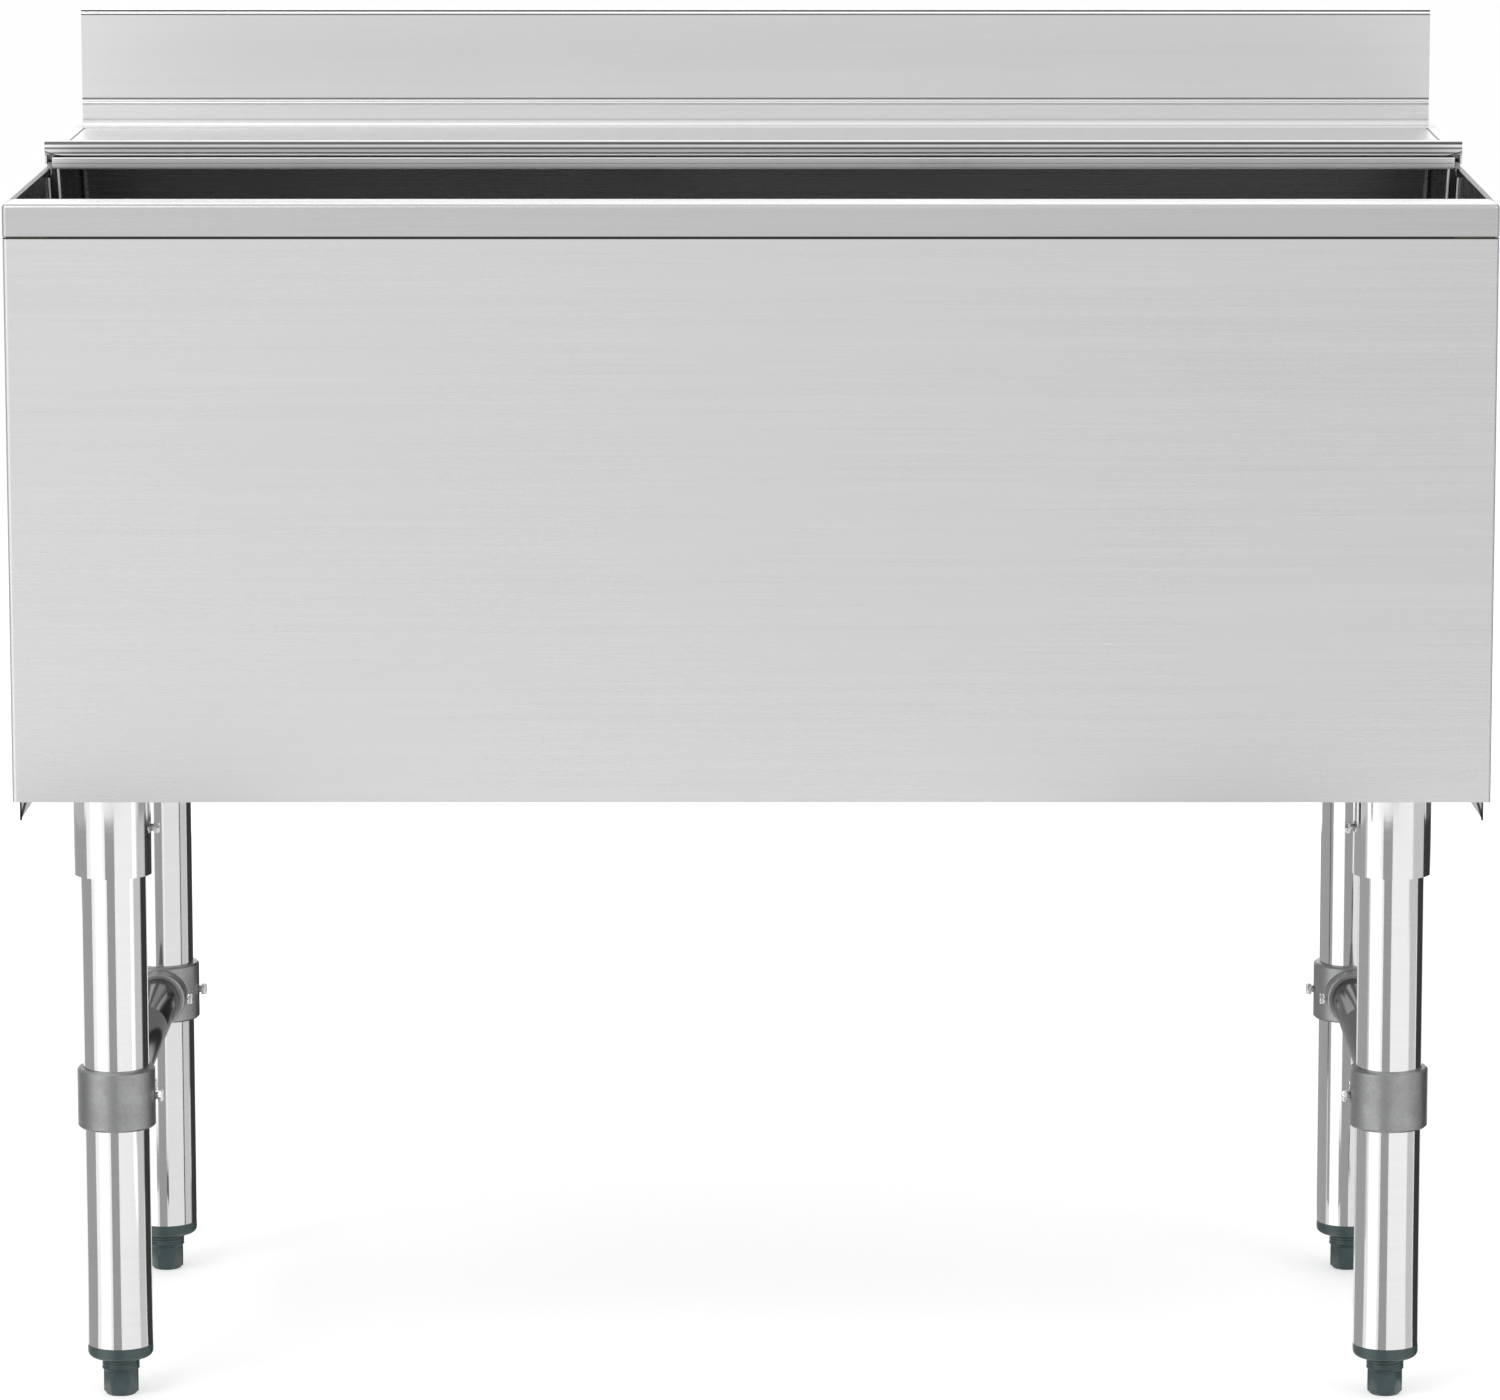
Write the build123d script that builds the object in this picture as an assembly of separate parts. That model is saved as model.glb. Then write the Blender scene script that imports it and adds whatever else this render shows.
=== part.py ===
from build123d import *
import os

# Underbar ice bin: an insulated stainless tub on four tube legs, with a rear deck, a
# backsplash and a sliding lid. Millimetres, +Z up, front towards -Y, origin on the floor
# under the middle of the bin.

# Overall size
WIDTH = 914.4
DEPTH = 466.7
RIM_HEIGHT = 762.0
BODY_HEIGHT = 371.0
BACKSPLASH_RISE = 88.9

# Sheet metal
SHEET = 1.2
BEND = 1.6
SEAT_GAP = 0.3
OVERRUN = 5.0

# Rim of the tub
FRONT_FLANGE = 33.0
SIDE_FLANGE = 5.2
HEM_DROP = 20.0
HEM_LAP = 13.0
HEM_REVEAL = 1.0

# Outer panels
CORNER_RETURN = 15.0
BOTTOM_RETURN = 12.0
CORNER_NOTCH = 28.0

# Tub and insulation
FLOOR_SPACE = 66.0
LINER_TAPER = 16.0
LINER_CORNER = 14.0
LINER_TOP_CORNER = 3.0
LINER_COVE = 12.0
REAR_WALL = 36.0
BASE_INSULATION = 38.0
FOAM_GAP = 0.3

# Rear deck and backsplash
DECK_RISE = 8.9
NOSE_SHARE = 0.467
NOSE_UPPER = 3.8
NOSE_STEP = 1.4
NOSE_LOWER = 2.6
NOSE_LIP = 8.0
NOSE_ROUND = 0.8
UPSTAND_BEAD = 1.2
DECK_SIDE_DROP = 12.0
DECK_INSET = 8.7
UPSTAND_INSET = 44.3
UPSTAND_HEIGHT = 32.0
COVE_RADIUS = 6.0
SPLASH_INSET = 8.4
SPLASH_FOOT = 20.4
SPLASH_OFFSET = 1.2
SPLASH_REAR_DROP = 24.0
BRACKET_WIDTH = 8.0
BRACKET_DEPTH = 11.0
BRACKET_HEIGHT = 70.0
BRACKET_SHEET = 1.5
BRACKET_ROUND = 0.6
BRACKET_GAP = 0.1

# Sliding lid
LID_BEHIND_NOSE = 2.0
LID_REAR_GAP = 5.4
LID_INSET = 3.8
LID_CLEARANCE = 0.5
LID_FRONT_RISE = 3.0
LID_BEAD = 5.8
LID_SIDE_FLANGE = 5.0
GLIDE_LENGTH = 34.0
GLIDE_LIP = 4.0
GLIDE_INSET = 14.0
GLIDE_CLEARANCE = 0.3
GLIDE_SIDE_GAP = 0.6

# Under the body
PAN_FLANGE = 20.0
CHANNEL_WIDTH = 84.0
CHANNEL_HEIGHT = 22.0
CHANNEL_SHEET = 2.0
CHANNEL_END_GAP = 3.0
TAB_WIDTH = 8.6
TAB_DROP = 12.5
TAB_REACH = 18.0
TAB_SETBACK = 4.0
TAB_FIX = 12.0

# Legs
LEG_INSET = 56.2
FRONT_LEG_SETBACK = 58.0
REAR_LEG_INSET = 76.7
LEG_DIAMETER = 41.3
LEG_WALL = 1.5
LEG_FIT = 0.1
LEG_TOP_GAP = 2.0
SOCKET_DIAMETER = 49.0
SOCKET_LENGTH = 58.0
SOCKET_PLATE = 76.0
SOCKET_PLATE_THICKNESS = 3.0
PLATE_CORNER = 8.0
BOLT_DIAMETER = 6.0
BOLT_HEAD_WIDTH = 10.0
BOLT_HEAD_HEIGHT = 4.0
BOLT_PITCH = 58.0
BOLT_FIT = 0.1

# Cross rails and clamps
RAIL_HEIGHT_SHARE = 0.4936
RAIL_DIAMETER = 28.6
RAIL_WALL = 1.5
CLAMP_DIAMETER = 49.0
CLAMP_HEIGHT = 38.1
CLAMP_CHAMFER = 1.2
BOSS_DIAMETER = 35.6
BOSS_REACH = 37.0
BOSS_WEB = 1.8
BOSS_ROUND = 1.5
SET_SCREW_DIAMETER = 5.0
SET_SCREW_HEAD_WIDTH = 7.0
SET_SCREW_HEAD = 3.2
SET_SCREW_STAND_OFF = 1.6

# Feet
FOOT_DROP = 24.6
COLLAR_HEIGHT = 8.4
COLLAR_ROUND = 4.0
INSERT_LENGTH = 36.0
INSERT_FIT = 0.05
STEM_DIAMETER = 15.8
STEM_FIT = 0.05
STEM_LENGTH = 40.0
NECK_DIAMETER = 24.0
NECK_HEIGHT = 8.0
HEX_WIDTH = 19.2
HEX_CHAMFER = 1.6
FOOT_GAP = 0.3

# Drain
DRAIN_Y = 60.0
DRAIN_FLANGE_DIAMETER = 76.0
DRAIN_FLANGE_THICKNESS = 2.0
DRAIN_NECK_DIAMETER = 45.0
DRAIN_HOLE_FIT = 0.5
DRAIN_BORE_DIAMETER = 36.0
GASKET_THICKNESS = 2.0
LOCKNUT_WIDTH = 62.0
LOCKNUT_HEIGHT = 9.0
TAILPIECE_DIAMETER = 33.4
TAILPIECE_WALL = 3.4
TAILPIECE_REACH = 32.0
TAILPIECE_SHOULDER = 6.0
TAILPIECE_THREAD = 36.0
TAILPIECE_COLLAR = 39.0
TAILPIECE_COLLAR_HEIGHT = 5.0
STRAINER_DIAMETER = 35.2
STRAINER_RIM_DIAMETER = 52.0
STRAINER_SHEET = 1.2
STRAINER_DROP = 8.0
STRAINER_HOLE = 5.0
STRAINER_HOLES = 6
STRAINER_RING_SHARE = 0.62
STRAINER_KNOB = 10.0

# Places worked out from the sizes above
HALF_WIDTH = WIDTH / 2
FRONT = -DEPTH / 2
REAR = DEPTH / 2
PANEL_BOTTOM = RIM_HEIGHT - BODY_HEIGHT
TOP = RIM_HEIGHT + BACKSPLASH_RISE
OUTER_BEND = BEND + SHEET
PANEL_TOP = RIM_HEIGHT - HEM_DROP + HEM_LAP
LINER_FLOOR = PANEL_BOTTOM + FLOOR_SPACE
LINER_FRONT = FRONT + FRONT_FLANGE
LINER_REAR = REAR - REAR_WALL
LINER_HALF = HALF_WIDTH - SIDE_FLANGE
LINER_TOP = RIM_HEIGHT - SHEET
PAN_TOP = LINER_FLOOR - SHEET - FOAM_GAP - BASE_INSULATION - FOAM_GAP
PAN_UNDERSIDE = PAN_TOP - SHEET
CHANNEL_BOTTOM = PAN_UNDERSIDE - CHANNEL_HEIGHT
SOCKET_TOP = CHANNEL_BOTTOM
SOCKET_BOTTOM = SOCKET_TOP - SOCKET_LENGTH
DECK_TOP = RIM_HEIGHT + DECK_RISE
NOSE = FRONT + DEPTH * NOSE_SHARE
UPSTAND = REAR - UPSTAND_INSET
LID_UNDERSIDE = DECK_TOP + LID_CLEARANCE
LID_FRONT = NOSE + LID_BEHIND_NOSE
LID_REAR = UPSTAND - LID_REAR_GAP
LEG_BOTTOM = FOOT_DROP + COLLAR_HEIGHT
LEG_X = HALF_WIDTH - LEG_INSET
FRONT_LEG_Y = FRONT + FRONT_LEG_SETBACK
REAR_LEG_Y = REAR - REAR_LEG_INSET
RAIL_HEIGHT = PANEL_BOTTOM * RAIL_HEIGHT_SHARE
LEG_PLACES = {
    "front_left": (-LEG_X, FRONT_LEG_Y),
    "front_right": (LEG_X, FRONT_LEG_Y),
    "rear_left": (-LEG_X, REAR_LEG_Y),
    "rear_right": (LEG_X, REAR_LEG_Y),
}


def save(name, shape):
    """Writes one sub-part under its node name."""
    shape.label = name
    export_step(shape, f"parts/{name}.step")


def block(x0, x1, y0, y1, z0, z1):
    """A box between two corners."""
    size = (x1 - x0, y1 - y0, z1 - z0)
    return Pos(x0, y0, z0) * Box(*size, align=(Align.MIN, Align.MIN, Align.MIN))


def rod(x, y, z0, z1, diameter):
    """An upright cylinder from z0 to z1."""
    low = (Align.CENTER, Align.CENTER, Align.MIN)
    return Pos(x, y, z0) * Cylinder(diameter / 2, z1 - z0, align=low)


def hex_bar(x, y, z0, z1, width):
    """An upright hexagonal bar, width across its flats."""
    sketch = Pos(x, y, z0) * RegularPolygon(width / 2, 6, major_radius=False)
    return extrude(sketch, amount=z1 - z0, dir=(0, 0, 1))


def folded(points, side, thickness=SHEET, radius=OUTER_BEND):
    """The cross section of a folded sheet whose one face follows the points."""
    path = FilletPolyline(*points, radius=radius)
    return make_face(offset(path, amount=thickness, side=side))


def along_x(section, x0, x1):
    """Carries a section drawn in Y and Z from x0 to x1."""
    return extrude(Pos(x0, 0, 0) * (Plane.YZ * section), amount=x1 - x0, dir=(1, 0, 0))


def along_y(section, y0, y1):
    """Carries a section drawn in X and Z from y0 to y1."""
    plane = Plane(origin=(0, y0, 0), x_dir=(1, 0, 0), z_dir=(0, -1, 0))
    return extrude(plane * section, amount=y1 - y0, dir=(0, 1, 0))


def along_z(section, z0, z1):
    """Carries a section drawn in X and Y from z0 to z1."""
    return extrude(Pos(0, 0, z0) * section, amount=z1 - z0, dir=(0, 0, 1))


def save_pair(name, right_shape):
    """Writes the right-hand piece and its mirror image."""
    save(f"{name}_right", right_shape)
    save(f"{name}_left", mirror(right_shape, about=Plane.YZ))


# Front rim: a cap formed over the front edge of the tub, its ends closed
def front_rim():
    z0 = RIM_HEIGHT - HEM_DROP
    back = FRONT + FRONT_FLANGE
    outer = block(-HALF_WIDTH, HALF_WIDTH, FRONT, back, z0, RIM_HEIGHT)
    inner = block(
        -HALF_WIDTH + SHEET, HALF_WIDTH - SHEET, FRONT + SHEET, back, z0, RIM_HEIGHT - SHEET
    )
    outer = fillet(cap_edges(outer), radius=OUTER_BEND)
    inner = fillet(cap_edges(inner), radius=BEND)
    room = block(-WIDTH, WIDTH, back, back + OVERRUN, z0, RIM_HEIGHT)
    return outer - inner - room


def cap_edges(cap):
    """The bent edges of a cap that is open behind and below."""
    box = cap.bounding_box()
    upper = [edge for edge in cap.edges().filter_by(Axis.X) if edge.center().Z > box.center().Z]
    front_top = [edge for edge in upper if edge.center().Y < box.center().Y]
    ends = [edge for edge in cap.edges().filter_by(Axis.Y) if edge.center().Z > box.center().Z]
    corners = [edge for edge in cap.edges().filter_by(Axis.Z) if edge.center().Y < box.center().Y]
    return front_top + ends + corners


# Side rim: flange and hem along one side of the tub
def side_rim():
    low = RIM_HEIGHT - HEM_DROP
    points = [(HALF_WIDTH, low), (HALF_WIDTH, RIM_HEIGHT), (LINER_HALF, RIM_HEIGHT)]
    return along_y(folded(points, Side.LEFT), LINER_FRONT, REAR - SHEET - SEAT_GAP)


# Front panel, wrapped round both front corners and turned in below
def front_apron():
    face = FRONT + SHEET
    back = face + CORNER_RETURN
    points = [(-HALF_WIDTH, back), (-HALF_WIDTH, face), (HALF_WIDTH, face), (HALF_WIDTH, back)]
    wrap_top = RIM_HEIGHT - HEM_DROP - HEM_REVEAL
    wrap = along_z(folded(points, Side.LEFT), PANEL_BOTTOM, wrap_top)
    inside = face + SHEET
    notch = HALF_WIDTH - CORNER_NOTCH
    lap = block(-notch, notch, inside, inside + SHEET, wrap_top - HEM_LAP, PANEL_TOP)
    lip = block(-notch, notch, inside, inside + BOTTOM_RETURN, PANEL_BOTTOM, PANEL_BOTTOM + SHEET)
    return wrap + lap + lip


# Side panel: lies inside the apron's return, and turns in behind and below
def side_panel():
    face = HALF_WIDTH - SHEET
    front = FRONT + SHEET + OUTER_BEND
    back = REAR - SHEET
    points = [(face, front), (face, back), (face - CORNER_RETURN, back)]
    wall = along_z(folded(points, Side.LEFT), PANEL_BOTTOM, PANEL_TOP)
    inside = face - SHEET
    lip = block(
        inside - BOTTOM_RETURN,
        inside,
        FRONT + CORNER_NOTCH,
        REAR - CORNER_NOTCH,
        PANEL_BOTTOM,
        PANEL_BOTTOM + SHEET,
    )
    return wall + lip


# Rear panel: covers the back and closes the top behind the deck
def rear_panel():
    half = HALF_WIDTH - SHEET
    forward = UPSTAND + SHEET
    points = [(REAR, PANEL_BOTTOM), (REAR, DECK_TOP), (forward, DECK_TOP)]
    return along_x(folded(points, Side.LEFT), -half, half)


# Tub: tapered walls with rounded corners and a coved floor, drained through its floor
def tub_body(grow, top, bottom):
    """The tub's hollow between two heights, made larger all round by grow."""
    sections = []
    for z in (bottom, top):
        share = (LINER_TOP - z) / (LINER_TOP - LINER_FLOOR)
        inset = LINER_TAPER * share - grow
        width = LINER_HALF * 2 - inset * 2
        depth = LINER_REAR - LINER_FRONT - inset * 2
        corner = LINER_TOP_CORNER + (LINER_CORNER - LINER_TOP_CORNER) * share + grow
        outline = RectangleRounded(width, depth, corner)
        sections.append(Pos(0, (LINER_FRONT + LINER_REAR) / 2, z) * outline)
    return loft(sections, ruled=True)


def floor_edges(tub):
    """The edges round the tub's floor."""
    return tub.faces().sort_by(Axis.Z)[0].edges()


def ice_liner():
    inside = tub_body(0, LINER_TOP, LINER_FLOOR)
    outside = tub_body(SHEET, LINER_TOP, LINER_FLOOR - SHEET)
    inside = fillet(floor_edges(inside), radius=LINER_COVE)
    outside = fillet(floor_edges(outside), radius=LINER_COVE + SHEET)
    hole = rod(0, DRAIN_Y, LINER_FLOOR - OVERRUN, LINER_FLOOR + OVERRUN, drain_hole())
    reach = SIDE_FLANGE - OUTER_BEND
    half = LINER_HALF + reach
    low = LINER_TOP - SHEET
    lip = block(-half, half, LINER_FRONT - reach, LINER_REAR + reach, low, LINER_TOP)
    return outside + lip - inside - hole


def drain_hole():
    """The bore that the drain's neck passes through."""
    return DRAIN_NECK_DIAMETER + DRAIN_HOLE_FIT * 2


# Insulation: a ring of foam round the walls and a slab under the floor
def insulation():
    side = HALF_WIDTH - SHEET - SHEET - FOAM_GAP
    front = FRONT + SHEET + SHEET + FOAM_GAP
    back = REAR - SHEET - SHEET - FOAM_GAP
    floor = LINER_FLOOR - SHEET - FOAM_GAP
    top = PANEL_TOP - HEM_LAP
    behind_lap = front + SHEET
    shell = block(-side, side, behind_lap, back, floor, top)
    shell = fillet(shell.edges().filter_by(Axis.Z), radius=BEND)
    cavity = tub_body(SHEET + FOAM_GAP, top + OVERRUN, floor - OVERRUN)
    walls = shell - cavity
    slab = block(-side, side, front, back, PAN_TOP + FOAM_GAP, floor)
    slab = fillet(slab.edges().filter_by(Axis.Z), radius=BEND)
    well = rod(0, DRAIN_Y, PAN_TOP, floor + OVERRUN, DRAIN_FLANGE_DIAMETER)
    save("insulation_walls", walls)
    save("insulation_base", slab - well)


# Bottom pan: floor of the casing, its edges turned down inside the panels
def pan_half():
    """Half width of the pan, clear of the side panels."""
    return HALF_WIDTH - SHEET - SHEET - SEAT_GAP


def pan_front():
    """Front face of the pan."""
    return FRONT + SHEET + SHEET + SEAT_GAP


def pan_back():
    """Rear face of the pan."""
    return REAR - SHEET - SHEET - SEAT_GAP


def bottom_pan():
    half = pan_half()
    low = PAN_TOP - PAN_FLANGE
    outer = block(-half, half, pan_front(), pan_back(), low, PAN_TOP)
    inner = block(
        -half + SHEET, half - SHEET, pan_front() + SHEET, pan_back() - SHEET, low, PAN_UNDERSIDE
    )
    outer_edges = outer.edges().filter_by(Axis.Z) + outer.faces().sort_by(Axis.Z)[-1].edges()
    inner_edges = inner.edges().filter_by(Axis.Z) + inner.faces().sort_by(Axis.Z)[-1].edges()
    shell = fillet(outer_edges, radius=OUTER_BEND) - fillet(inner_edges, radius=BEND)
    return shell - rod(0, DRAIN_Y, low, PAN_TOP + OVERRUN, DRAIN_FLANGE_DIAMETER)


# Corner tabs: folded spurs that hang just below the four bottom corners
def corner_tabs():
    x = pan_half() - SHEET
    y = pan_front() + SHEET + TAB_SETBACK
    top = PANEL_BOTTOM + TAB_FIX
    tip = PANEL_BOTTOM - TAB_DROP
    face = Polyline(
        (x, top), (x, tip), (x - TAB_WIDTH, PANEL_BOTTOM), (x - TAB_WIDTH, top), close=True
    )
    flank = Polyline(
        (y, top), (y, tip), (y + TAB_REACH, PANEL_BOTTOM), (y + TAB_REACH, top), close=True
    )
    front_face = along_y(make_face(face), y, y + SHEET)
    side_face = along_x(make_face(flank), x - SHEET, x)
    right = front_face + side_face
    pair = [right, mirror(right, about=Plane.YZ)]
    return Compound(children=[*pair, *[mirror(tab, about=Plane.XZ) for tab in pair]])


# Leg channels: folded cross members under the pan that carry the leg sockets
def leg_channel():
    top = PAN_UNDERSIDE
    half = CHANNEL_WIDTH / 2
    points = [
        (LEG_X - half, top),
        (LEG_X - half, CHANNEL_BOTTOM),
        (LEG_X + half, CHANNEL_BOTTOM),
        (LEG_X + half, top),
    ]
    section = folded(points, Side.LEFT, CHANNEL_SHEET, BEND + CHANNEL_SHEET)
    channel = along_y(
        section, pan_front() + SHEET + CHANNEL_END_GAP, pan_back() - SHEET - CHANNEL_END_GAP
    )
    for x, y in LEG_PLACES.values():
        if x > 0:
            for bolt_x, bolt_y in bolt_places(x, y):
                channel -= rod(
                    bolt_x,
                    bolt_y,
                    CHANNEL_BOTTOM - OVERRUN,
                    CHANNEL_BOTTOM + CHANNEL_SHEET + OVERRUN,
                    BOLT_DIAMETER + BOLT_FIT * 2,
                )
    return channel


def bolt_places(x, y):
    """The four bolts of one socket plate."""
    half = BOLT_PITCH / 2
    return [(x + sx * half, y + sy * half) for sx in (-1, 1) for sy in (-1, 1)]


# Leg socket: a plate bolted under the channel with a tube for the leg
def leg_socket(x, y):
    plate_bottom = SOCKET_TOP - SOCKET_PLATE_THICKNESS
    plate = Pos(x, y, plate_bottom) * RectangleRounded(SOCKET_PLATE, SOCKET_PLATE, PLATE_CORNER)
    socket = extrude(plate, amount=SOCKET_PLATE_THICKNESS, dir=(0, 0, 1))
    socket += rod(x, y, SOCKET_BOTTOM, SOCKET_TOP, SOCKET_DIAMETER)
    bore = LEG_DIAMETER + LEG_FIT * 2
    socket -= rod(x, y, SOCKET_BOTTOM - OVERRUN, plate_bottom, bore)
    for bolt_x, bolt_y in bolt_places(x, y):
        hole = BOLT_DIAMETER + BOLT_FIT * 2
        socket -= rod(bolt_x, bolt_y, plate_bottom - OVERRUN, SOCKET_TOP + OVERRUN, hole)
    return socket - side_bore(x, y, (SOCKET_BOTTOM + SOCKET_TOP) / 2, SOCKET_DIAMETER)


def inward(x):
    """The direction along X from a leg towards the middle of the bin."""
    return -1 if x > 0 else 1


def side_rod(x, y, z, near, far, diameter):
    """A cylinder along X on the inner side of a leg, near and far from the leg's axis."""
    side = inward(x)
    plane = Plane(origin=(x + side * near, y, z), z_dir=(side, 0, 0))
    return extrude(plane * Circle(diameter / 2), amount=far - near)


def side_bore(x, y, z, diameter):
    """The hole for a set screw through one wall of a collar of that diameter."""
    bore = SET_SCREW_DIAMETER + BOLT_FIT * 2
    return side_rod(x, y, z, LEG_DIAMETER / 2 - LEG_WALL, diameter / 2 + OVERRUN, bore)


def set_screw(x, y, z, near, far):
    """A set screw along X whose tip stands at near and whose hex head starts at far."""
    side = inward(x)
    shank = side_rod(x, y, z, near, far, SET_SCREW_DIAMETER)
    plane = Plane(origin=(x + side * far, y, z), z_dir=(side, 0, 0))
    head = plane * RegularPolygon(SET_SCREW_HEAD_WIDTH / 2, 6, major_radius=False)
    return shank + extrude(head, amount=SET_SCREW_HEAD)


def socket_screws():
    z = (SOCKET_BOTTOM + SOCKET_TOP) / 2
    near = LEG_DIAMETER / 2
    far = SOCKET_DIAMETER / 2 + SET_SCREW_STAND_OFF
    return Compound(children=[set_screw(x, y, z, near, far) for x, y in LEG_PLACES.values()])


def socket_bolts():
    bolts = []
    low = SOCKET_TOP - SOCKET_PLATE_THICKNESS
    high = CHANNEL_BOTTOM + CHANNEL_SHEET
    for x, y in LEG_PLACES.values():
        for bolt_x, bolt_y in bolt_places(x, y):
            bolt = hex_bar(bolt_x, bolt_y, low - BOLT_HEAD_HEIGHT, low, BOLT_HEAD_WIDTH)
            bolt += rod(bolt_x, bolt_y, low, high + BOLT_HEAD_HEIGHT, BOLT_DIAMETER)
            bolt += hex_bar(bolt_x, bolt_y, high, high + BOLT_HEAD_HEIGHT, BOLT_HEAD_WIDTH)
            bolts.append(bolt)
    return Compound(children=bolts)


# Leg tube, from the foot's collar up into its socket
def leg_tube(x, y):
    top = SOCKET_TOP - SOCKET_PLATE_THICKNESS - LEG_TOP_GAP
    tube = rod(x, y, LEG_BOTTOM, top, LEG_DIAMETER)
    return tube - rod(x, y, LEG_BOTTOM - OVERRUN, top + OVERRUN, LEG_DIAMETER - LEG_WALL * 2)


# Clamp: a cast collar on the leg with a boss that takes the end of the cross rail
def boss_direction(y):
    """The direction along Y from a leg towards the other leg of its side."""
    return 1 if y < (FRONT_LEG_Y + REAR_LEG_Y) / 2 else -1


def lying_rod(x, y, z, near, far, diameter):
    """A cylinder along Y from near to far of a leg's axis, towards the other leg."""
    side = boss_direction(y)
    plane = Plane(origin=(x, y + side * near, z), z_dir=(0, side, 0))
    return extrude(plane * Circle(diameter / 2), amount=far - near)


def rail_end():
    """Distance from a leg's axis to the end of the rail in its boss."""
    return CLAMP_DIAMETER / 2 + BOSS_WEB


def boss_screw_reach():
    """Distance from a leg's axis to the boss's set screw."""
    return (rail_end() + BOSS_REACH) / 2


def rail_clamp(x, y):
    low = RAIL_HEIGHT - CLAMP_HEIGHT / 2
    high = RAIL_HEIGHT + CLAMP_HEIGHT / 2
    ring = rod(x, y, low, high, CLAMP_DIAMETER)
    ring = chamfer(ring.edges().filter_by(GeomType.CIRCLE), length=CLAMP_CHAMFER)
    boss = lying_rod(x, y, RAIL_HEIGHT, 0, BOSS_REACH, BOSS_DIAMETER)
    boss_rims = boss.edges().filter_by(GeomType.CIRCLE)
    far = BOSS_REACH * boss_direction(y) + y
    boss = fillet([rim for rim in boss_rims if abs(rim.center().Y - far) < BEND], radius=BOSS_ROUND)
    body = ring + boss
    body -= rod(x, y, low - OVERRUN, high + OVERRUN, LEG_DIAMETER + LEG_FIT * 2)
    body -= lying_rod(
        x, y, RAIL_HEIGHT, rail_end(), BOSS_REACH + OVERRUN, RAIL_DIAMETER + LEG_FIT * 2
    )
    bore = SET_SCREW_DIAMETER + BOLT_FIT * 2
    body -= side_rod(x, y, RAIL_HEIGHT, 0, CLAMP_DIAMETER / 2 + OVERRUN, bore)
    boss_y = y + boss_direction(y) * boss_screw_reach()
    body -= side_rod(x, boss_y, RAIL_HEIGHT, 0, BOSS_DIAMETER / 2 + OVERRUN, bore)
    return body


def clamp_screws():
    screws = []
    for x, y in LEG_PLACES.values():
        ring_far = CLAMP_DIAMETER / 2 + SET_SCREW_STAND_OFF
        screws.append(set_screw(x, y, RAIL_HEIGHT, LEG_DIAMETER / 2, ring_far))
        boss_y = y + boss_direction(y) * boss_screw_reach()
        boss_far = BOSS_DIAMETER / 2 + SET_SCREW_STAND_OFF
        screws.append(set_screw(x, boss_y, RAIL_HEIGHT, RAIL_DIAMETER / 2, boss_far))
    return Compound(children=screws)


# Cross rail: joins the front and rear legs of one side
def cross_rail():
    start = FRONT_LEG_Y + rail_end()
    end = REAR_LEG_Y - rail_end()
    plane = Plane(origin=(LEG_X, start, RAIL_HEIGHT), z_dir=(0, 1, 0))
    solid = extrude(plane * Circle(RAIL_DIAMETER / 2), amount=end - start)
    hollow = extrude(plane * Circle(RAIL_DIAMETER / 2 - RAIL_WALL), amount=end - start)
    return solid - hollow


# Foot: a plastic insert with a collar, and the screwed hexagonal foot below it
def foot_insert(x, y):
    collar = rod(x, y, FOOT_DROP, LEG_BOTTOM, LEG_DIAMETER)
    lower = collar.edges().filter_by(GeomType.CIRCLE).sort_by(Axis.Z)[0]
    collar = fillet(lower, radius=COLLAR_ROUND)
    plug_diameter = LEG_DIAMETER - LEG_WALL * 2 - INSERT_FIT * 2
    plug = rod(x, y, LEG_BOTTOM, LEG_BOTTOM + INSERT_LENGTH, plug_diameter)
    bore = STEM_DIAMETER + STEM_FIT * 2
    low = FOOT_DROP - OVERRUN
    return collar + plug - rod(x, y, low, LEG_BOTTOM + INSERT_LENGTH + OVERRUN, bore)


def bullet_foot(x, y):
    neck_top = FOOT_DROP - FOOT_GAP
    neck_bottom = neck_top - NECK_HEIGHT
    neck = rod(x, y, neck_bottom, neck_top, NECK_DIAMETER)
    nut = hex_bar(x, y, 0, neck_bottom, HEX_WIDTH)
    nut = chamfer(nut.faces().sort_by(Axis.Z)[0].edges(), length=HEX_CHAMFER)
    return neck + nut + rod(x, y, neck_top, neck_top + STEM_LENGTH, STEM_DIAMETER)


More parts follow.
